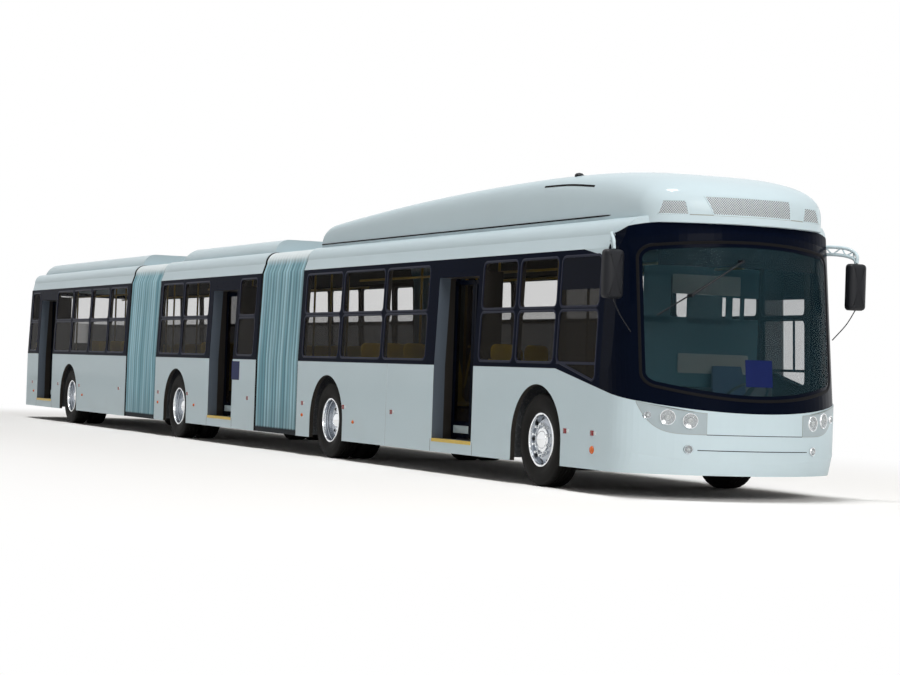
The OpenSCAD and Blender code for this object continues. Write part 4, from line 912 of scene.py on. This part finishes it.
def grille(right, left, low, high, rightSlant, leftSlant):  # a sheet between slanted ends, and its edge
    up = np.linspace(0, 1, 9)[None]
    across = np.linspace(0, 1, 33)[:, None]
    y = right + rightSlant * up + (left - right + (leftSlant - rightSlant) * up) * across
    z = pod["lip"] + low + (high - low) * up + 0 * across
    sheet = thickSheet(*(onPodNose(y, z, np.full(y.shape, h)) for h in pod["grilleSkin"]))
    corners = np.array([[right, low], [left, low], [left + leftSlant, high], [right + rightSlant, high]])
    return sheet, carried(finer(corners + (0, pod["lip"]), 0.02), pod["grilleEdge"], onPodNose)


addPiece("front_pod_shell", [podShell()], "panel", replaced=("front_roof_pod",))
grilleParts = [grille(*row) for row in pod["grilles"]]
addPiece("pod_grilles", [p[0] for p in grilleParts], "grille")
addPiece("pod_grille_edges", [p[1] for p in grilleParts], "panel")
slotX = np.linspace(pod["slot"][0][0], pod["slot"][-1][0], 40)
slotZ = smoothPath([(x, 0, z) for x, z in pod["slot"]], 40)[:, 2]
slot = panel(slotX, slotZ - pod["slotHalf"], slotZ + pod["slotHalf"], onPodSide, *pod["lineSkin"])
addPiece("pod_slot", [slot], "seal")
aerialFoot = (*pod["aerial"], float(podHeight(np.array(pod["aerial"][0]), np.array(pod["aerial"][1]))))
addPiece("pod_aerial", [spun(pod["aerialShape"], aerialFoot, (0, 0, 1), 28)], "plastic")
footZ = body["roof"] - pod["footDrop"]
feet = [np.linspace((pod["back"], y, footZ), (podCornerX, y, footZ), 60)
        for y in (pod["halfWide"], -pod["halfWide"])]
addPiece("pod_foot_seals", [tube(foot, pod["footR"], 8) for foot in feet], "seal")
# a grey strip along the foot of the pod's nose: painted shadow under the lip
lipY = np.linspace(-pod["lipReach"], pod["lipReach"], 60)
lipZ = np.full(60, pod["lip"] + pod["lipRise"])
lipShadowLine = panel(lipY, lipZ, lipZ + pod["lipHigh"], onPodNose, *pod["lineSkin"])
addPiece("pod_lip_painted_shadow", [lipShadowLine], "board")
print("pod made")

# Wheels: tyre profiles and rim profiles turned about the axle; out is towards the kerb

wheel = dict(
    seat=0.286, bead=0.111, halfWide=0.1425, wallTop=0.464, wallTurn=0.83, ribHigh=0.0015, ribs=(0.45, 0.82),
    ribHalf=0.05, shoulderR=0.034, shoulderAt=0.094, segments=168, sipeEvery=4, sipeDeep=0.006, sipeFrom=0.07,
    sipeUnder=0.010, grooves=(0.056, 0.019, -0.019, -0.056), grooveHalf=0.006, grooveDeep=0.012,
    nuts=10, nutRing=0.1675, nutR=0.018, twinPitch=0.33,
    singleRim=[
        (0.004, 0.150), (0.030, 0.148), (0.058, 0.141), (0.080, 0.130), (0.094, 0.115), (0.098, 0.104),
        (0.124, 0.104), (0.130, 0.101), (0.132, 0.095), (0.133, 0.088), (0.202, 0.087), (0.210, 0.083),
        (0.252, 0.050), (0.259, 0.048), (0.263, 0.060), (0.265, 0.100), (0.270, 0.117), (0.279, 0.123),
        (0.289, 0.120), (0.294, 0.110), (0.286, -0.111), (0.272, -0.111), (0.262, 0.0), (0.20, 0.050),
        (0.10, 0.055), (0.004, 0.055)],
    twinRim=[
        (0.004, 0.072), (0.030, 0.070), (0.058, 0.063), (0.080, 0.052), (0.094, 0.037), (0.098, 0.026),
        (0.124, 0.026), (0.130, 0.023), (0.132, 0.017), (0.134, -0.054), (0.202, -0.055), (0.210, -0.051),
        (0.252, -0.018), (0.257, -0.010), (0.258, 0.016), (0.262, 0.024), (0.262, 0.052), (0.267, 0.060),
        (0.267, 0.092), (0.271, 0.112), (0.279, 0.121), (0.289, 0.119), (0.294, 0.110), (0.286, -0.111),
        (0.272, -0.111), (0.262, -0.080), (0.15, -0.076), (0.004, -0.076)],
    innerRim=[
        (0.286, 0.111), (0.272, 0.111), (0.266, 0.060), (0.14, 0.058), (0.14, 0.044), (0.262, 0.046),
        (0.272, -0.111), (0.286, -0.111)],
    handHoles=10, handHoleRing=0.238, handHoleR=0.021, coneLean=(0.62, 0.78), singleCone=(0.063, 1),
    twinCone=(-0.031, -1), singleFace=0.086, twinFace=-0.055, hubPoints=9, hubDeep=0.006, brightOut=0.0008,
    lip=[
        (0.264, 0.085), (0.2645, 0.101), (0.2695, 0.118), (0.279, 0.124), (0.2895, 0.121), (0.2945, 0.110),
        (0.290, 0.106), (0.272, 0.100)])


# Tyre: a closed profile turned; walls swell by a sine, shoulders are arcs, grooves and sipes cut the tread
def tyreRing(x, y, side):
    s = np.linspace(0, 1, 12)
    wallR = wheel["seat"] + (wheel["wallTop"] - wheel["seat"]) * s
    ribs = sum(wheel["ribHigh"] * (np.abs(s - at) < wheel["ribHalf"]) for at in wheel["ribs"])
    swell = (wheel["halfWide"] - wheel["bead"] - wheel["ribHigh"]) * np.sin(math.pi * wheel["wallTurn"] * s)
    wallA = wheel["bead"] + swell + ribs
    f = np.linspace(0, math.pi / 2, 5)
    shoulderR = tyreR - wheel["shoulderR"] * (1 - np.sin(f))
    shoulderA = wheel["shoulderAt"] + wheel["shoulderR"] * np.cos(f)
    g = wheel["grooveHalf"]
    treadA = np.concatenate([[c + g, c + 0.8 * g, c - 0.8 * g, c - g] for c in wheel["grooves"]])
    treadR = tyreR - wheel["grooveDeep"] * np.tile([0, 1, 1, 0], len(wheel["grooves"]))
    radius = np.concatenate([wallR, shoulderR, treadR, shoulderR[::-1], wallR[::-1]])
    out = np.concatenate([wallA, shoulderA, treadA, -shoulderA[::-1], -wallA[::-1]])
    turn = np.arange(wheel["segments"])
    outer = (np.abs(out) > wheel["sipeFrom"]) & (radius > tyreR - wheel["sipeUnder"])
    cut = (turn % wheel["sipeEvery"] == 0)[:, None] & outer
    reach = radius[None] - wheel["sipeDeep"] * cut
    a = (2 * math.pi * turn / wheel["segments"])[:, None]
    return closedGrid(np.stack([x + reach * np.cos(a), np.broadcast_to(y + side * out, reach.shape),
                                tyreR + reach * np.sin(a)], -1))


def ringOfNuts(x, y, face, side):  # hexagon nuts under long bright caps
    a = 2 * math.pi * np.arange(wheel["nuts"]) / wheel["nuts"]
    r = wheel["nutR"]
    hexagon = [(1.15 * r, -0.004), (1.15 * r, 0.018), (0.9 * r, 0.024)]
    cap = [(0.86 * r, 0.020), (0.86 * r, 0.046), (0.7 * r, 0.055), (0.3 * r, 0.058)]
    made = []
    for t in a:
        place = (x + wheel["nutRing"] * math.sin(t), y + side * face, tyreR + wheel["nutRing"] * math.cos(t))
        made += [spun(hexagon, place, (0, side, 0), 6), spun(cap, place, (0, side, 0), 14)]
    return made


def handHoleShadeDiscs(x, y, side, cone, way):  # dark discs on the cone, painted shade for the openings through it; the cone faces out (1) or in (-1)
    a = 2 * math.pi * (np.arange(wheel["handHoles"]) + 0.5) / wheel["handHoles"]
    ring = wheel["handHoleRing"]
    disc = [(wheel["handHoleR"], -0.002), (wheel["handHoleR"], 0.003), (0.4 * wheel["handHoleR"], 0.0035)]
    across, out = wheel["coneLean"]
    return [spun(disc, (x + ring * math.sin(t), y + side * cone, tyreR + ring * math.cos(t)),
                 (way * across * math.sin(t), out * side, way * across * math.cos(t)), 20) for t in a]


def onAxle(profile, x, y, side, segments, ringShape=False):  # a profile turned about a wheel's axle
    return spun(profile, (x, y, tyreR), (0, side, 0), segments, ringShape)


for axle, x in axleX.items():
    kind, plural = ("single", "") if axle == "front" else ("twin", "s")
    for side, hand in ((1, "left"), (-1, "right")):
        y = side * wheelY
        name = axle + "_" + hand
        owner = name + "_wheel"
        tyres, rims = [tyreRing(x, y, side)], [onAxle(wheel[kind + "Rim"], x, y, side, 72)]
        if kind == "twin":
            inner = y - side * wheel["twinPitch"]
            tyres.append(tyreRing(x, inner, side))
            rims.append(onAxle(wheel["innerRim"], x, inner, side, 48, True))
        holes = handHoleShadeDiscs(x, y, side, *wheel[kind + "Cone"])
        addPiece(name + "_hand_hole_shade", holes, "chassis", owner)
        addPiece(name + "_tyre_tread", tyres, "tyre", owner, (name + "_tyre" + plural,), 30)
        addPiece(name + "_polished_rim", rims, "rim", owner, (name + "_rim" + plural,), 30)
        nuts = ringOfNuts(x, y, wheel[kind + "Face"], side)
        addPiece(name + "_wheel_nuts", nuts, "nut", owner, (), 30)
        hub = [(r, out + wheel["brightOut"]) for r, out in wheel[kind + "Rim"][:wheel["hubPoints"]]]
        hub.append((hub[-1][0], hub[-1][1] - wheel["hubDeep"]))
        bright = [onAxle(hub, x, y, side, 60), onAxle(wheel["lip"], x, y, side, 96, True)]
        addPiece(name + "_bright_lip_and_hub", bright, "chrome", owner, (), 30)
print("wheels made")

# Door leaves: a framed pane, kick panel, rubber edge and grab rail, each on its own leaf's body; sills below

door = dict(
    frameWide=0.058, cornerR=0.03, lift=0.020, kickLow=0.022, kickHigh=0.165,
    gap=0.006, postIn=0.036, postR=0.021, postGap=0.001, edgeR=0.0035, edgeOut=0.001, edgeShort=0.01,
    frame=[(0, -0.017), (0, 0.017), (-0.003, 0.020), (-0.052, 0.020), (-0.058, 0.014), (-0.058, -0.014),
           (-0.052, -0.020), (-0.003, -0.020)],
    bar=[(0.003, -0.018), (0, -0.015), (0, 0.015), (0.003, 0.018)], pane=[(0, -0.004), (0, 0.004)],
    kick=[(0.004, -0.014), (0, -0.012), (0, 0.012), (0.004, 0.015)],
    railShare=(0.30, 0.62), railFoot=0.012, railIn=0.065, railZ=(1.02, 1.04, 1.26, 1.48, 1.50), railR=0.015,
    sillDeep=0.050, sillThick=0.006, sillDrop=0.032)


def doorLeaf(node, post):  # post is the side of the leaf that holds the hinge post: -1 behind, 1 ahead
    (x0, y0, z0), (x1, y1, z1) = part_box(node)
    y, wide = (y0 + y1) / 2, x1 - x0
    hingeX = x0 + door["postIn"] - door["gap"] if post < 0 else x1 - door["postIn"] + door["gap"]
    hinge = np.linspace((hingeX, y, z0 + door["postGap"]), (hingeX, y, z1 - door["postGap"]), 3)
    z0, z1 = z0 + door["lift"], z1 - door["lift"]
    kickTop = z0 + door["kickHigh"]
    half, inset = 0.5 * door["frameWide"], 0.8 * door["frameWide"]

    def onLeaf(u, v, h):  # along, up and out of the leaf
        return np.stack([u, y - h, v + 0 * u], -1)
    frameRing = carried(roundRect(x0, z0, x1, z1, door["cornerR"]), door["frame"], onLeaf)
    bar = slab(roundRect(x0 + half, kickTop - 0.02, x1 - half, kickTop + 0.03, 0.01), door["bar"], onLeaf)
    postTube = tube(hinge, door["postR"], 16, (1, 0, 0))
    addPiece(node + "_frame", [frameRing, bar, postTube], "navy", node, (node,))
    pane = roundRect(x0 + inset, kickTop, x1 - inset, z1 - inset, door["cornerR"])
    addPiece(node + "_pane", [slab(pane, door["pane"], onLeaf)], "doorGlass", node)
    kick = roundRect(x0 + inset, z0 + door["kickLow"], x1 - inset, kickTop - 0.01, 0.012)
    addPiece(node + "_kick_panel", [slab(kick, door["kick"], onLeaf)], "panel", node)
    meetX = x1 + door["edgeOut"] if post < 0 else x0 - door["edgeOut"]
    edge = np.linspace((meetX, y, z0 + door["edgeShort"]), (meetX, y, z1 - door["edgeShort"]), 3)
    addPiece(node + "_rubber_edge", [tube(edge, door["edgeR"], 8, (1, 0, 0))], "seal", node)
    lowX, highX = (x0 + wide * (s if post < 0 else 1 - s) for s in door["railShare"])
    footY, inY = y + door["railFoot"], y + door["railIn"]
    railX, railY = (lowX, lowX, (lowX + highX) / 2, highX, highX), (footY, inY, inY, inY, footY)
    rail = smoothPath(np.stack([railX, railY, door["railZ"]], -1), 26)
    addPiece(node + "_grab_rail", [tube(rail, door["railR"], 10, (1, 0, 0.2))], "yellow", node)


def onFloor(u, v, h):  # along, across and up from the floor
    return np.stack([u, v, body["floor"] + h], -1)


for name in sectionSpan:
    doorX = []
    for leaf, post in (("back", -1), ("fore", 1)):
        node = name + "_door_" + leaf + "_leaf"
        doorLeaf(node, post)
        doorX += span(node, 0)
    x0, x1, edgeY = min(doorX), max(doorX), -body["halfWide"]
    nosing = slab(roundRect(x0, edgeY - 0.002, x1, edgeY + door["sillDeep"], 0.01),
                  [(0, -0.004), (0, 0.004), (0.003, door["sillThick"])], onFloor)
    edging = plate(x0, x1, body["floor"] - door["sillDrop"], body["floor"] + door["sillThick"], onSide(-1),
                   0.003, -0.004)
    addPiece(name + "_sill_nosing", [nosing, edging], "yellow", name + "_section")
print("door leaves made")

# Nose: headlamp housings, lamps, and dark lines painted as shade along the crease and the groove

nose = dict(
    lamps=[(0.552, 0.790, 0.082), (0.704, 0.820, 0.082), (0.830, 0.835, 0.042), (0.559, 0.508, 0.046)],
    housingStart=0.575, housingEnd=1.285, housingLow=0.658, housingTop=0.868, housingTip=0.962, tipHigh=0.006,
    lowPower=4.6, topPower=1.4, housingOut=0.004, gapOut=0.0015, gapWide=0.004, skinIn=-0.002,
    lines=dict(nose_crease_shade=(0.656, 0.0035, 0.575), bumper_groove_shade=(0.500, 0.004, 0.66)), lineOut=0.001)


# A lens shape: the lower edge climbs by a high power to the tip, the upper by a gentler one
def housing(side, out, grow):
    share = np.linspace(0, 1, 40)
    t = side * (nose["housingStart"] - grow + (nose["housingEnd"] - nose["housingStart"] + 2 * grow) * share)
    low = nose["housingLow"] - grow + (nose["housingTip"] - nose["housingLow"]) * share ** nose["lowPower"]
    climb = nose["housingTip"] - nose["housingTop"] + nose["tipHigh"]
    high = nose["housingTop"] + grow + climb * share ** nose["topPower"]
    return panel(t, low, high, onNose, out, nose["skinIn"], 8)


def lampAt(share, z):  # centre of a lamp on the nose and the way it faces
    t = np.sign(share) * bowLength(abs(share) * body["halfWide"], body["bowR"])
    centre, ahead = (onNose(np.array(t), np.array(z), np.array(h)) for h in (0.0, 1.0))
    return centre, ahead - centre


def lampPieces(share, z, r):  # turned profiles of a bezel, a bowl, a bulb and a cover
    centre, facing = lampAt(share, z)
    bezel = [(r, 0.0), (r, 0.014), (r - 0.005, 0.020), (r - 0.011, 0.017), (r - 0.014, 0.006),
             (r - 0.014, 0.0)]
    bowl = [(0.004, 0.005), (0.30 * r, 0.006), (0.55 * r, 0.009), (r - 0.013, 0.017), (r - 0.010, 0.004),
            (0.004, 0.002)]
    bulb = [(0.36 * r, 0.005), (0.36 * r, 0.014), (0.30 * r, 0.021), (0.16 * r, 0.026), (0.05 * r, 0.027)]
    cover = [(r - 0.012, 0.018), (0.7 * r, 0.026), (0.35 * r, 0.030), (0.004, 0.031), (0.004, 0.030),
             (0.35 * r, 0.029), (0.7 * r, 0.025), (r - 0.012, 0.016)]
    return [spun(profile, centre, facing, segments, profile is bezel)
            for profile, segments in ((bezel, 48), (bowl, 40), (bulb, 28), (cover, 40))]


lampParts = [lampPieces(side * share, z, r) for side in sides for share, z, r in nose["lamps"]]
lampKinds = (("bezels", "chrome", "lamp", ("headlamps",)), ("bowls", "chrome", "lamp", ()),
             ("bulbs", "white", "lamp", ()), ("covers", "lens", "clear_glass", ()))
for k, (kind, finish, slotName, replaced) in enumerate(lampKinds):
    addPiece("headlamp_" + kind, [p[k] for p in lampParts], finish, replaced=replaced)
housings = [housing(side, nose["housingOut"], 0.0) for side in sides]
addPiece("headlamp_housings", housings, "lampBack")
gaps = [housing(side, nose["gapOut"], nose["gapWide"]) for side in sides]
addPiece("headlamp_gaps", gaps, "board")


def noseLine(z, half, reach):  # a level dark strip on the nose, painted as the shade along a line
    t = np.linspace(-reach, reach, 60)
    return panel(t, np.full(60, z - half), np.full(60, z + half), onNose, nose["lineOut"], nose["skinIn"])


for name, line in nose["lines"].items():
    addPiece(name, [noseLine(*line)], "trim")
print("nose details made")

# Mirrors: lattice arms of two rails and crossed struts, and domed heads with glass behind

mirrors = dict(
    upper=[(11.545, 1.205, 2.640), (11.70, 1.310, 2.650), (11.87, 1.415, 2.630), (11.985, 1.452, 2.565),
           (12.0, 1.452, 2.475)],
    lower=[(11.545, 1.230, 2.560), (11.70, 1.320, 2.572), (11.85, 1.405, 2.556), (11.955, 1.443, 2.520),
           (11.985, 1.450, 2.470)],
    railR=0.018, strutR=0.008, struts=7, strutFrom=3, strutTo=34,
    headHalf=0.110, headR=0.045, glassIn=0.02, glassR=0.03,
    shell=[(0.016, -0.050), (0.006, -0.052), (0, -0.046), (0, 0.0), (0.006, 0.022), (0.022, 0.040),
           (0.050, 0.051)],
    glass=[(0, -0.049), (0, -0.054)], stayFoot=(11.95, 1.205, 1.66), stayR=0.006, staySag=0.03)


def latticeArm(side):  # two smooth rails, with struts that cross from one to the other in turn
    flip = np.array([1, side, 1])
    upper, lower = smoothPath(mirrors["upper"], 40), smoothPath(mirrors["lower"], 40)
    parts = [tube(upper * flip, mirrors["railR"], 12), tube(lower * flip, mirrors["railR"], 12)]
    stops = np.linspace(mirrors["strutFrom"], mirrors["strutTo"], mirrors["struts"] + 1).astype(int)
    for k in range(mirrors["struts"]):
        ends = (upper[stops[k]], lower[stops[k + 1]]) if k % 2 else (lower[stops[k]], upper[stops[k + 1]])
        parts.append(tube(np.linspace(ends[0], ends[1], 3) * flip, mirrors["strutR"], 8))
    return parts


addPiece("lattice_mirror_arms", latticeArm(1) + latticeArm(-1), "panel",
         replaced=("mirror_arms",))
headLow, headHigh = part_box("mirror_heads")
headX = (headLow.x + headHigh.x) / 2


def onHead(u, v, h):  # across, up and ahead of a mirror's head
    return np.stack([headX + h, u, v + 0 * u], -1)


shells, glasses, stays = [], [], []
for side in sides:
    centre = side * mirrors["upper"][-1][1]
    y0, y1, inset = centre - mirrors["headHalf"], centre + mirrors["headHalf"], mirrors["glassIn"]
    outline = roundRect(y0, headLow.z, y1, headHigh.z, mirrors["headR"])
    shells.append(slab(outline, mirrors["shell"], onHead))
    pane = roundRect(y0 + inset, headLow.z + inset, y1 - inset, headHigh.z - inset, mirrors["glassR"])
    glasses.append(slab(pane, mirrors["glass"], onHead))
    foot = np.array(mirrors["stayFoot"]) * (1, side, 1)
    start = np.array([headX, centre, headLow.z + 0.01])
    stay = smoothPath([start, 0.6 * start + 0.4 * foot - (0, 0, mirrors["staySag"]), foot], 20)
    stays.append(tube(stay, mirrors["stayR"], 8))
addPiece("mirror_shells", shells, "plastic", replaced=("mirror_heads",))
addPiece("mirror_glasses", glasses, "mirrorGlass")
addPiece("mirror_stays", stays, "plastic")
print("mirrors made")

# Seats: moulded shells on legs, with handles and grab poles

seats = dict(
    boxHalf=0.69, rowGap=0.115, behind=0.13, pitch=0.69, engine=(2.30, 4.00),
    wallGap=0.066, wide=0.86, deep=0.44, half=0.205, taper=0.14, taperFrom=0.8, dish=0.025, shell=0.022,
    lineU=[0, 0.04, 0.42, 0.52, 0.60, 1.0], lineX=[0.44, 0.43, 0.09, 0.02, -0.005, -0.10],
    lineZ=[0.385, 0.42, 0.405, 0.42, 0.50, 0.985],
    poleR=0.017, poleZ=(0.70, 1.5, 2.772), beamAt=0.20, beamZ=0.765, beamR=0.022,
    leg=[(0.30, 0.405), (0.24, 0.58), (0.20, 0.76)], legR=0.024,
    handleHalf=0.15, handleLow=1.33, handleTop=1.53, handleR=0.07, handleBack=0.1,
    handleRows=[(0.006, -0.012), (0, -0.006), (0, 0.006), (0.006, 0.012)])


# Seat shell: a side line of pan, bend and back, dished across; u runs along the line, v across one place
def seatShell(x, y, base):
    u = np.linspace(0, 1, 26)
    v = np.linspace(-1, 1, 11)
    lineX, lineZ = (np.interp(u, seats["lineU"], seats[key]) for key in ("lineX", "lineZ"))
    kernel = np.ones(5) / 5
    lineX, lineZ = (np.convolve(np.pad(line, 2, "edge"), kernel, "valid") for line in (lineX, lineZ))
    half = seats["half"] - seats["taper"] * np.clip(u - seats["taperFrom"], 0, 1)
    dish = seats["dish"] * v[None] ** 2 * np.sin(math.pi * np.clip(u, 0.05, 0.95))[:, None]
    px = x + lineX[:, None] + dish * (u[:, None] > 0.5)
    pz = base + lineZ[:, None] + dish * (u[:, None] <= 0.5)
    py = np.broadcast_to(y + half[:, None] * v[None], px.shape)
    outer = np.stack([px, py, pz], -1)
    normal = np.cross(np.gradient(outer, axis=0), np.gradient(outer, axis=1))
    normal /= np.linalg.norm(normal, axis=-1, keepdims=True)
    return thickSheet(outer, outer + normal * seats["shell"])


def rows(x0, x1):  # as many rows as fit between two places
    start = x0 + seats["rowGap"] + seats["behind"]
    count = math.floor((x1 - start - seats["deep"]) / seats["pitch"] + 1e-6) + 1
    return [start + k * seats["pitch"] for k in range(count)]


def seatHandle(x, y):  # a rounded board that stands on a seat's back
    half, r = seats["handleHalf"], seats["handleR"]
    outline = roundRect(y - half, seats["handleLow"], y + half, seats["handleTop"], r)
    backX = x - seats["handleBack"]
    return slab(outline, seats["handleRows"], lambda u, v, h: np.stack([backX + h, u, v], -1))


ahead = {name: axleX[name] + seats["boxHalf"] for name in axleX}
astern = {name: axleX[name] - seats["boxHalf"] for name in axleX}
engineAhead, engineBack = (axleX["front"] - reach for reach in seats["engine"])
seatRows = dict(
    front={1: rows(ahead["drive"], engineBack) + rows(engineAhead, astern["front"]),
           -1: rows(ahead["drive"], portal["front"][0]) + rows(portal["front"][1], astern["front"])},
    middle={1: rows(ahead["middle"], sectionSpan["middle"][1]),
            -1: rows(ahead["middle"], portal["middle"][0])},
    rear={1: rows(ahead["rear"], sectionSpan["rear"][1]) + rows(sectionSpan["rear"][0], astern["rear"]),
          -1: rows(ahead["rear"], sectionSpan["rear"][1]) + rows(sectionSpan["rear"][0], portal["rear"][0])})

for section in sectionSpan:
    shells, poles, legs, handles = [], [], [], []
    wallY = body["halfWide"] - seats["wallGap"]
    for side in sides:
        midY = side * (wallY - seats["wide"] / 2)
        aisleY = side * (wallY - seats["wide"] + seats["poleR"])
        for x in seatRows[section][side]:
            for share in (0.25, 0.75):
                placeY = side * (wallY - seats["wide"] * share)
                shells.append(seatShell(x, placeY, body["floor"]))
                handles.append(seatHandle(x, placeY))
            pole = [(x + seats["poleR"], aisleY, z) for z in seats["poleZ"]]
            poles.append(tube(pole, seats["poleR"], 12, (1, 0, 0)))
            beam = [(x + seats["beamAt"], y, seats["beamZ"]) for y in (side * wallY, midY, aisleY)]
            leg = [(x + along, midY, z) for along, z in seats["leg"]]
            legs += [tube(beam, seats["beamR"], 10), tube(leg, seats["legR"], 10, (1, 0, 0))]
    owner = section + "_section"
    addPiece(section + "_seat_shells", shells, "seat", owner, (section + "_seats",))
    addPiece(section + "_seat_handles", handles, "seat", owner)
    # the grab poles take the darkened yellow: painted shade
    addPiece(section + "_grab_poles", poles, "pole", owner)
    addPiece(section + "_seat_legs", legs, "chassis", owner)
print("seats made")

# Cab and lining: the driver's seat, a partition behind it, a dark lining under each roof, and hand rails

cab = dict(
    seatX=axleX["front"] + 0.83, seatY=0.62, legX=0.20, legZ=(0.002, 0.2, 0.405), legR=0.05,
    partitionX=axleX["front"] + 0.60, partitionR=0.015,
    partition=[(-0.36, 1.08, 1.12, 1.87), (0.18, 0.62, 1.80, 2.12), (-0.36, -0.03, 1.80, 2.34),
               (-0.36, 1.08, 2.30, 2.42), (0.60, 1.08, 2.10, 2.36), (0.67, 0.75, 1.80, 2.16),
               (0.85, 0.90, 1.80, 2.16)],
    partitionRows=[(0.003, -0.012), (0, -0.006), (0, 0.006), (0.003, 0.012)],
    boards=[(-0.02, 0.83, 2.12, 2.33), (0.07, 0.95, 1.27, 1.48)], boardR=0.02,
    boardRows=[(0.002, 0.018), (0, 0.020), (0, 0.030)],
    liningIn=0.062, liningThick=0.008, liningLow=2.47, liningShort=0.03,
    railY=0.52, railZ=2.40, railR=0.016, railShort=0.25)


def onPartition(u, v, h):  # across, up and ahead of the partition
    return np.stack([cab["partitionX"] + h, u, v + 0 * u], -1)


def boards(places, r, rows):  # upright boards across the cab, each from y to y and from z to z
    return [slab(roundRect(y0, z0, y1, z1, r), rows, onPartition) for y0, y1, z0, z1 in places]


driverLeg = [(cab["seatX"] + cab["legX"], cab["seatY"], body["floor"] + z) for z in cab["legZ"]]
driverShell = seatShell(cab["seatX"], cab["seatY"], body["floor"])
addPiece("driver_seat", [driverShell, tube(driverLeg, cab["legR"], 16, (1, 0, 0))], "cushion")
partition = boards(cab["partition"], cab["partitionR"], cab["partitionRows"])
addPiece("cab_partition", partition, "teal")
addPiece("cab_boards", boards(cab["boards"], cab["boardR"], cab["boardRows"]), "board")


def ceilingLining(x0, x1):  # the upper part of the body's outline, drawn in to two depths
    ends = np.array([x0, x1])
    rings = [insetOutline([depth] * 2) for depth in (cab["liningIn"], cab["liningIn"] + cab["liningThick"])]
    above = rings[0][0, :, 1] > cab["liningLow"]
    return thickSheet(*(acrossBus(ends, ring[:, above]) for ring in rings))


for section, (start, end) in sectionSpan.items():
    owner = section + "_section"
    lining = ceilingLining(start + cab["liningShort"], end - cab["liningShort"])
    addPiece(section + "_ceiling_lining", [lining], "lining", owner)
    railStart, railEnd = start + cab["railShort"], end - cab["railShort"]
    runs = [np.linspace((railStart, y, cab["railZ"]), (railEnd, y, cab["railZ"]), 20)
            for y in (cab["railY"], -cab["railY"])]
    # the hand rails take the darkened yellow: painted shade
    addPiece(section + "_hand_rails", [tube(run, cab["railR"], 10) for run in runs], "pole", owner)
print("cab and lining made")

# Floor, light and sky

studio = dict(floorHalf=120.0, floorTone=(0.93, 0.925, 0.915, 1), sky=(1.0, 0.93, 0.86, 1), skyStrength=0.145,
              nearX=13.5, nearY=3.0, fade=7.0)
lights = dict(
    key=dict(place=(36.0, -3.0, 14.0), aim=(6.0, 0.0, 1.0), size=12.0, power=4000.0,
             colour=(1.0, 0.98, 0.96)),
    fill=dict(place=(0.0, 30.0, 5.0), aim=(0.0, 0.0, 1.5), size=14.0, power=700.0, colour=(0.97, 0.99, 1.0)),
    top=dict(place=(4.0, -9.0, 90.0), aim=(0.0, 0.0, 0.0), size=15.0, power=56000.0, colour=(1.0, 1.0, 1.0)))


def addFloor():  # a wide level sheet, lit near the bus and plain white far from it
    edge = np.array([-1.0, 1.0]) * studio["floorHalf"]
    u, v = np.meshgrid(edge, edge, indexing="ij")
    sheet = np.stack([u, v, np.zeros_like(u)], -1)
    mesh = buildMesh("studio_floor", [(sheet.reshape(-1, 3), gridQuads(2, 2, False, False), noTris)])
    material, place, feed = newFinish("studio_floor", {"Roughness": 0.9, "Specular IOR Level": 0.1})
    feed("Base Color", place.noise(0.2).mix(shade(studio["floorTone"], 0.99), studio["floorTone"]))
    x, y, z = place.split()
    outX, outY = ((wire.maths("ABSOLUTE") - studio[near]).maths("MAXIMUM").maths("POWER", 2.0)
                  for wire, near in ((x, "nearX"), (y, "nearY")))
    away = (outX + outY).maths("SQRT")
    tree = material.node_tree
    seen = Wire(tree, tree.nodes.new("ShaderNodeLightPath").outputs["Is Camera Ray"])
    white = seen.node("ShaderNodeEmission", {}, {"Color": (1, 1, 1, 1), "Strength": 1.0})
    lit = Wire(tree, tree.nodes["Principled BSDF"].outputs[0])
    far = away.rise(0.0, studio["fade"]) * seen  # plain white far from the bus
    both = far.node("ShaderNodeMixShader", {}, {0: far, 1: lit, 2: white})
    tree.links.new(both.socket, tree.nodes["Material Output"].inputs["Surface"])
    mesh.materials.append(material)
    ground = bpy.data.objects.new("studio_floor", mesh)
    bpy.context.scene.collection.objects.link(ground)


def addLight(name, spec):  # an area light, turned so that its back points away from its aim
    data = bpy.data.lights.new(name, "AREA")
    data.size, data.energy, data.color = spec["size"], spec["power"], spec["colour"]
    lamp = bpy.data.objects.new(name, data)
    place, aim = np.array(spec["place"]), np.array(spec["aim"])
    back = (place - aim) / np.linalg.norm(place - aim)
    side = np.cross((0.0, 1.0, 0.0) if abs(back[2]) > 0.99 else (0.0, 0.0, 1.0), back)
    side /= np.linalg.norm(side)
    turn = Matrix((side, np.cross(back, side), back)).transposed().to_4x4()
    lamp.matrix_world = Matrix.Translation(spec["place"]) @ turn
    bpy.context.scene.collection.objects.link(lamp)


def addWorld():  # white where the camera, a mirror or a glass looks; a softer sky lights the bus
    world = bpy.data.worlds.new("studio")
    world.use_nodes = True
    tree = world.node_tree
    tree.nodes.clear()
    rays = tree.nodes.new("ShaderNodeLightPath")
    kinds = ("Is Camera Ray", "Is Glossy Ray", "Is Transmission Ray")
    seen, mirrored, through = (Wire(tree, rays.outputs[kind]) for kind in kinds)
    white = (seen + mirrored + through).rise(0.0, 1.0)
    tone = white.mix(shade(studio["sky"], studio["skyStrength"]), (1.0, 1.0, 1.0, 1.0))
    out = tree.nodes.new("ShaderNodeOutputWorld")
    light = white.node("ShaderNodeBackground", {}, {"Color": tone, "Strength": 1.0})
    tree.links.new(light.socket, out.inputs["Surface"])
    bpy.context.scene.world = world


addFloor()
addWorld()
for name, spec in lights.items():
    addLight(name, spec)
print("studio made")
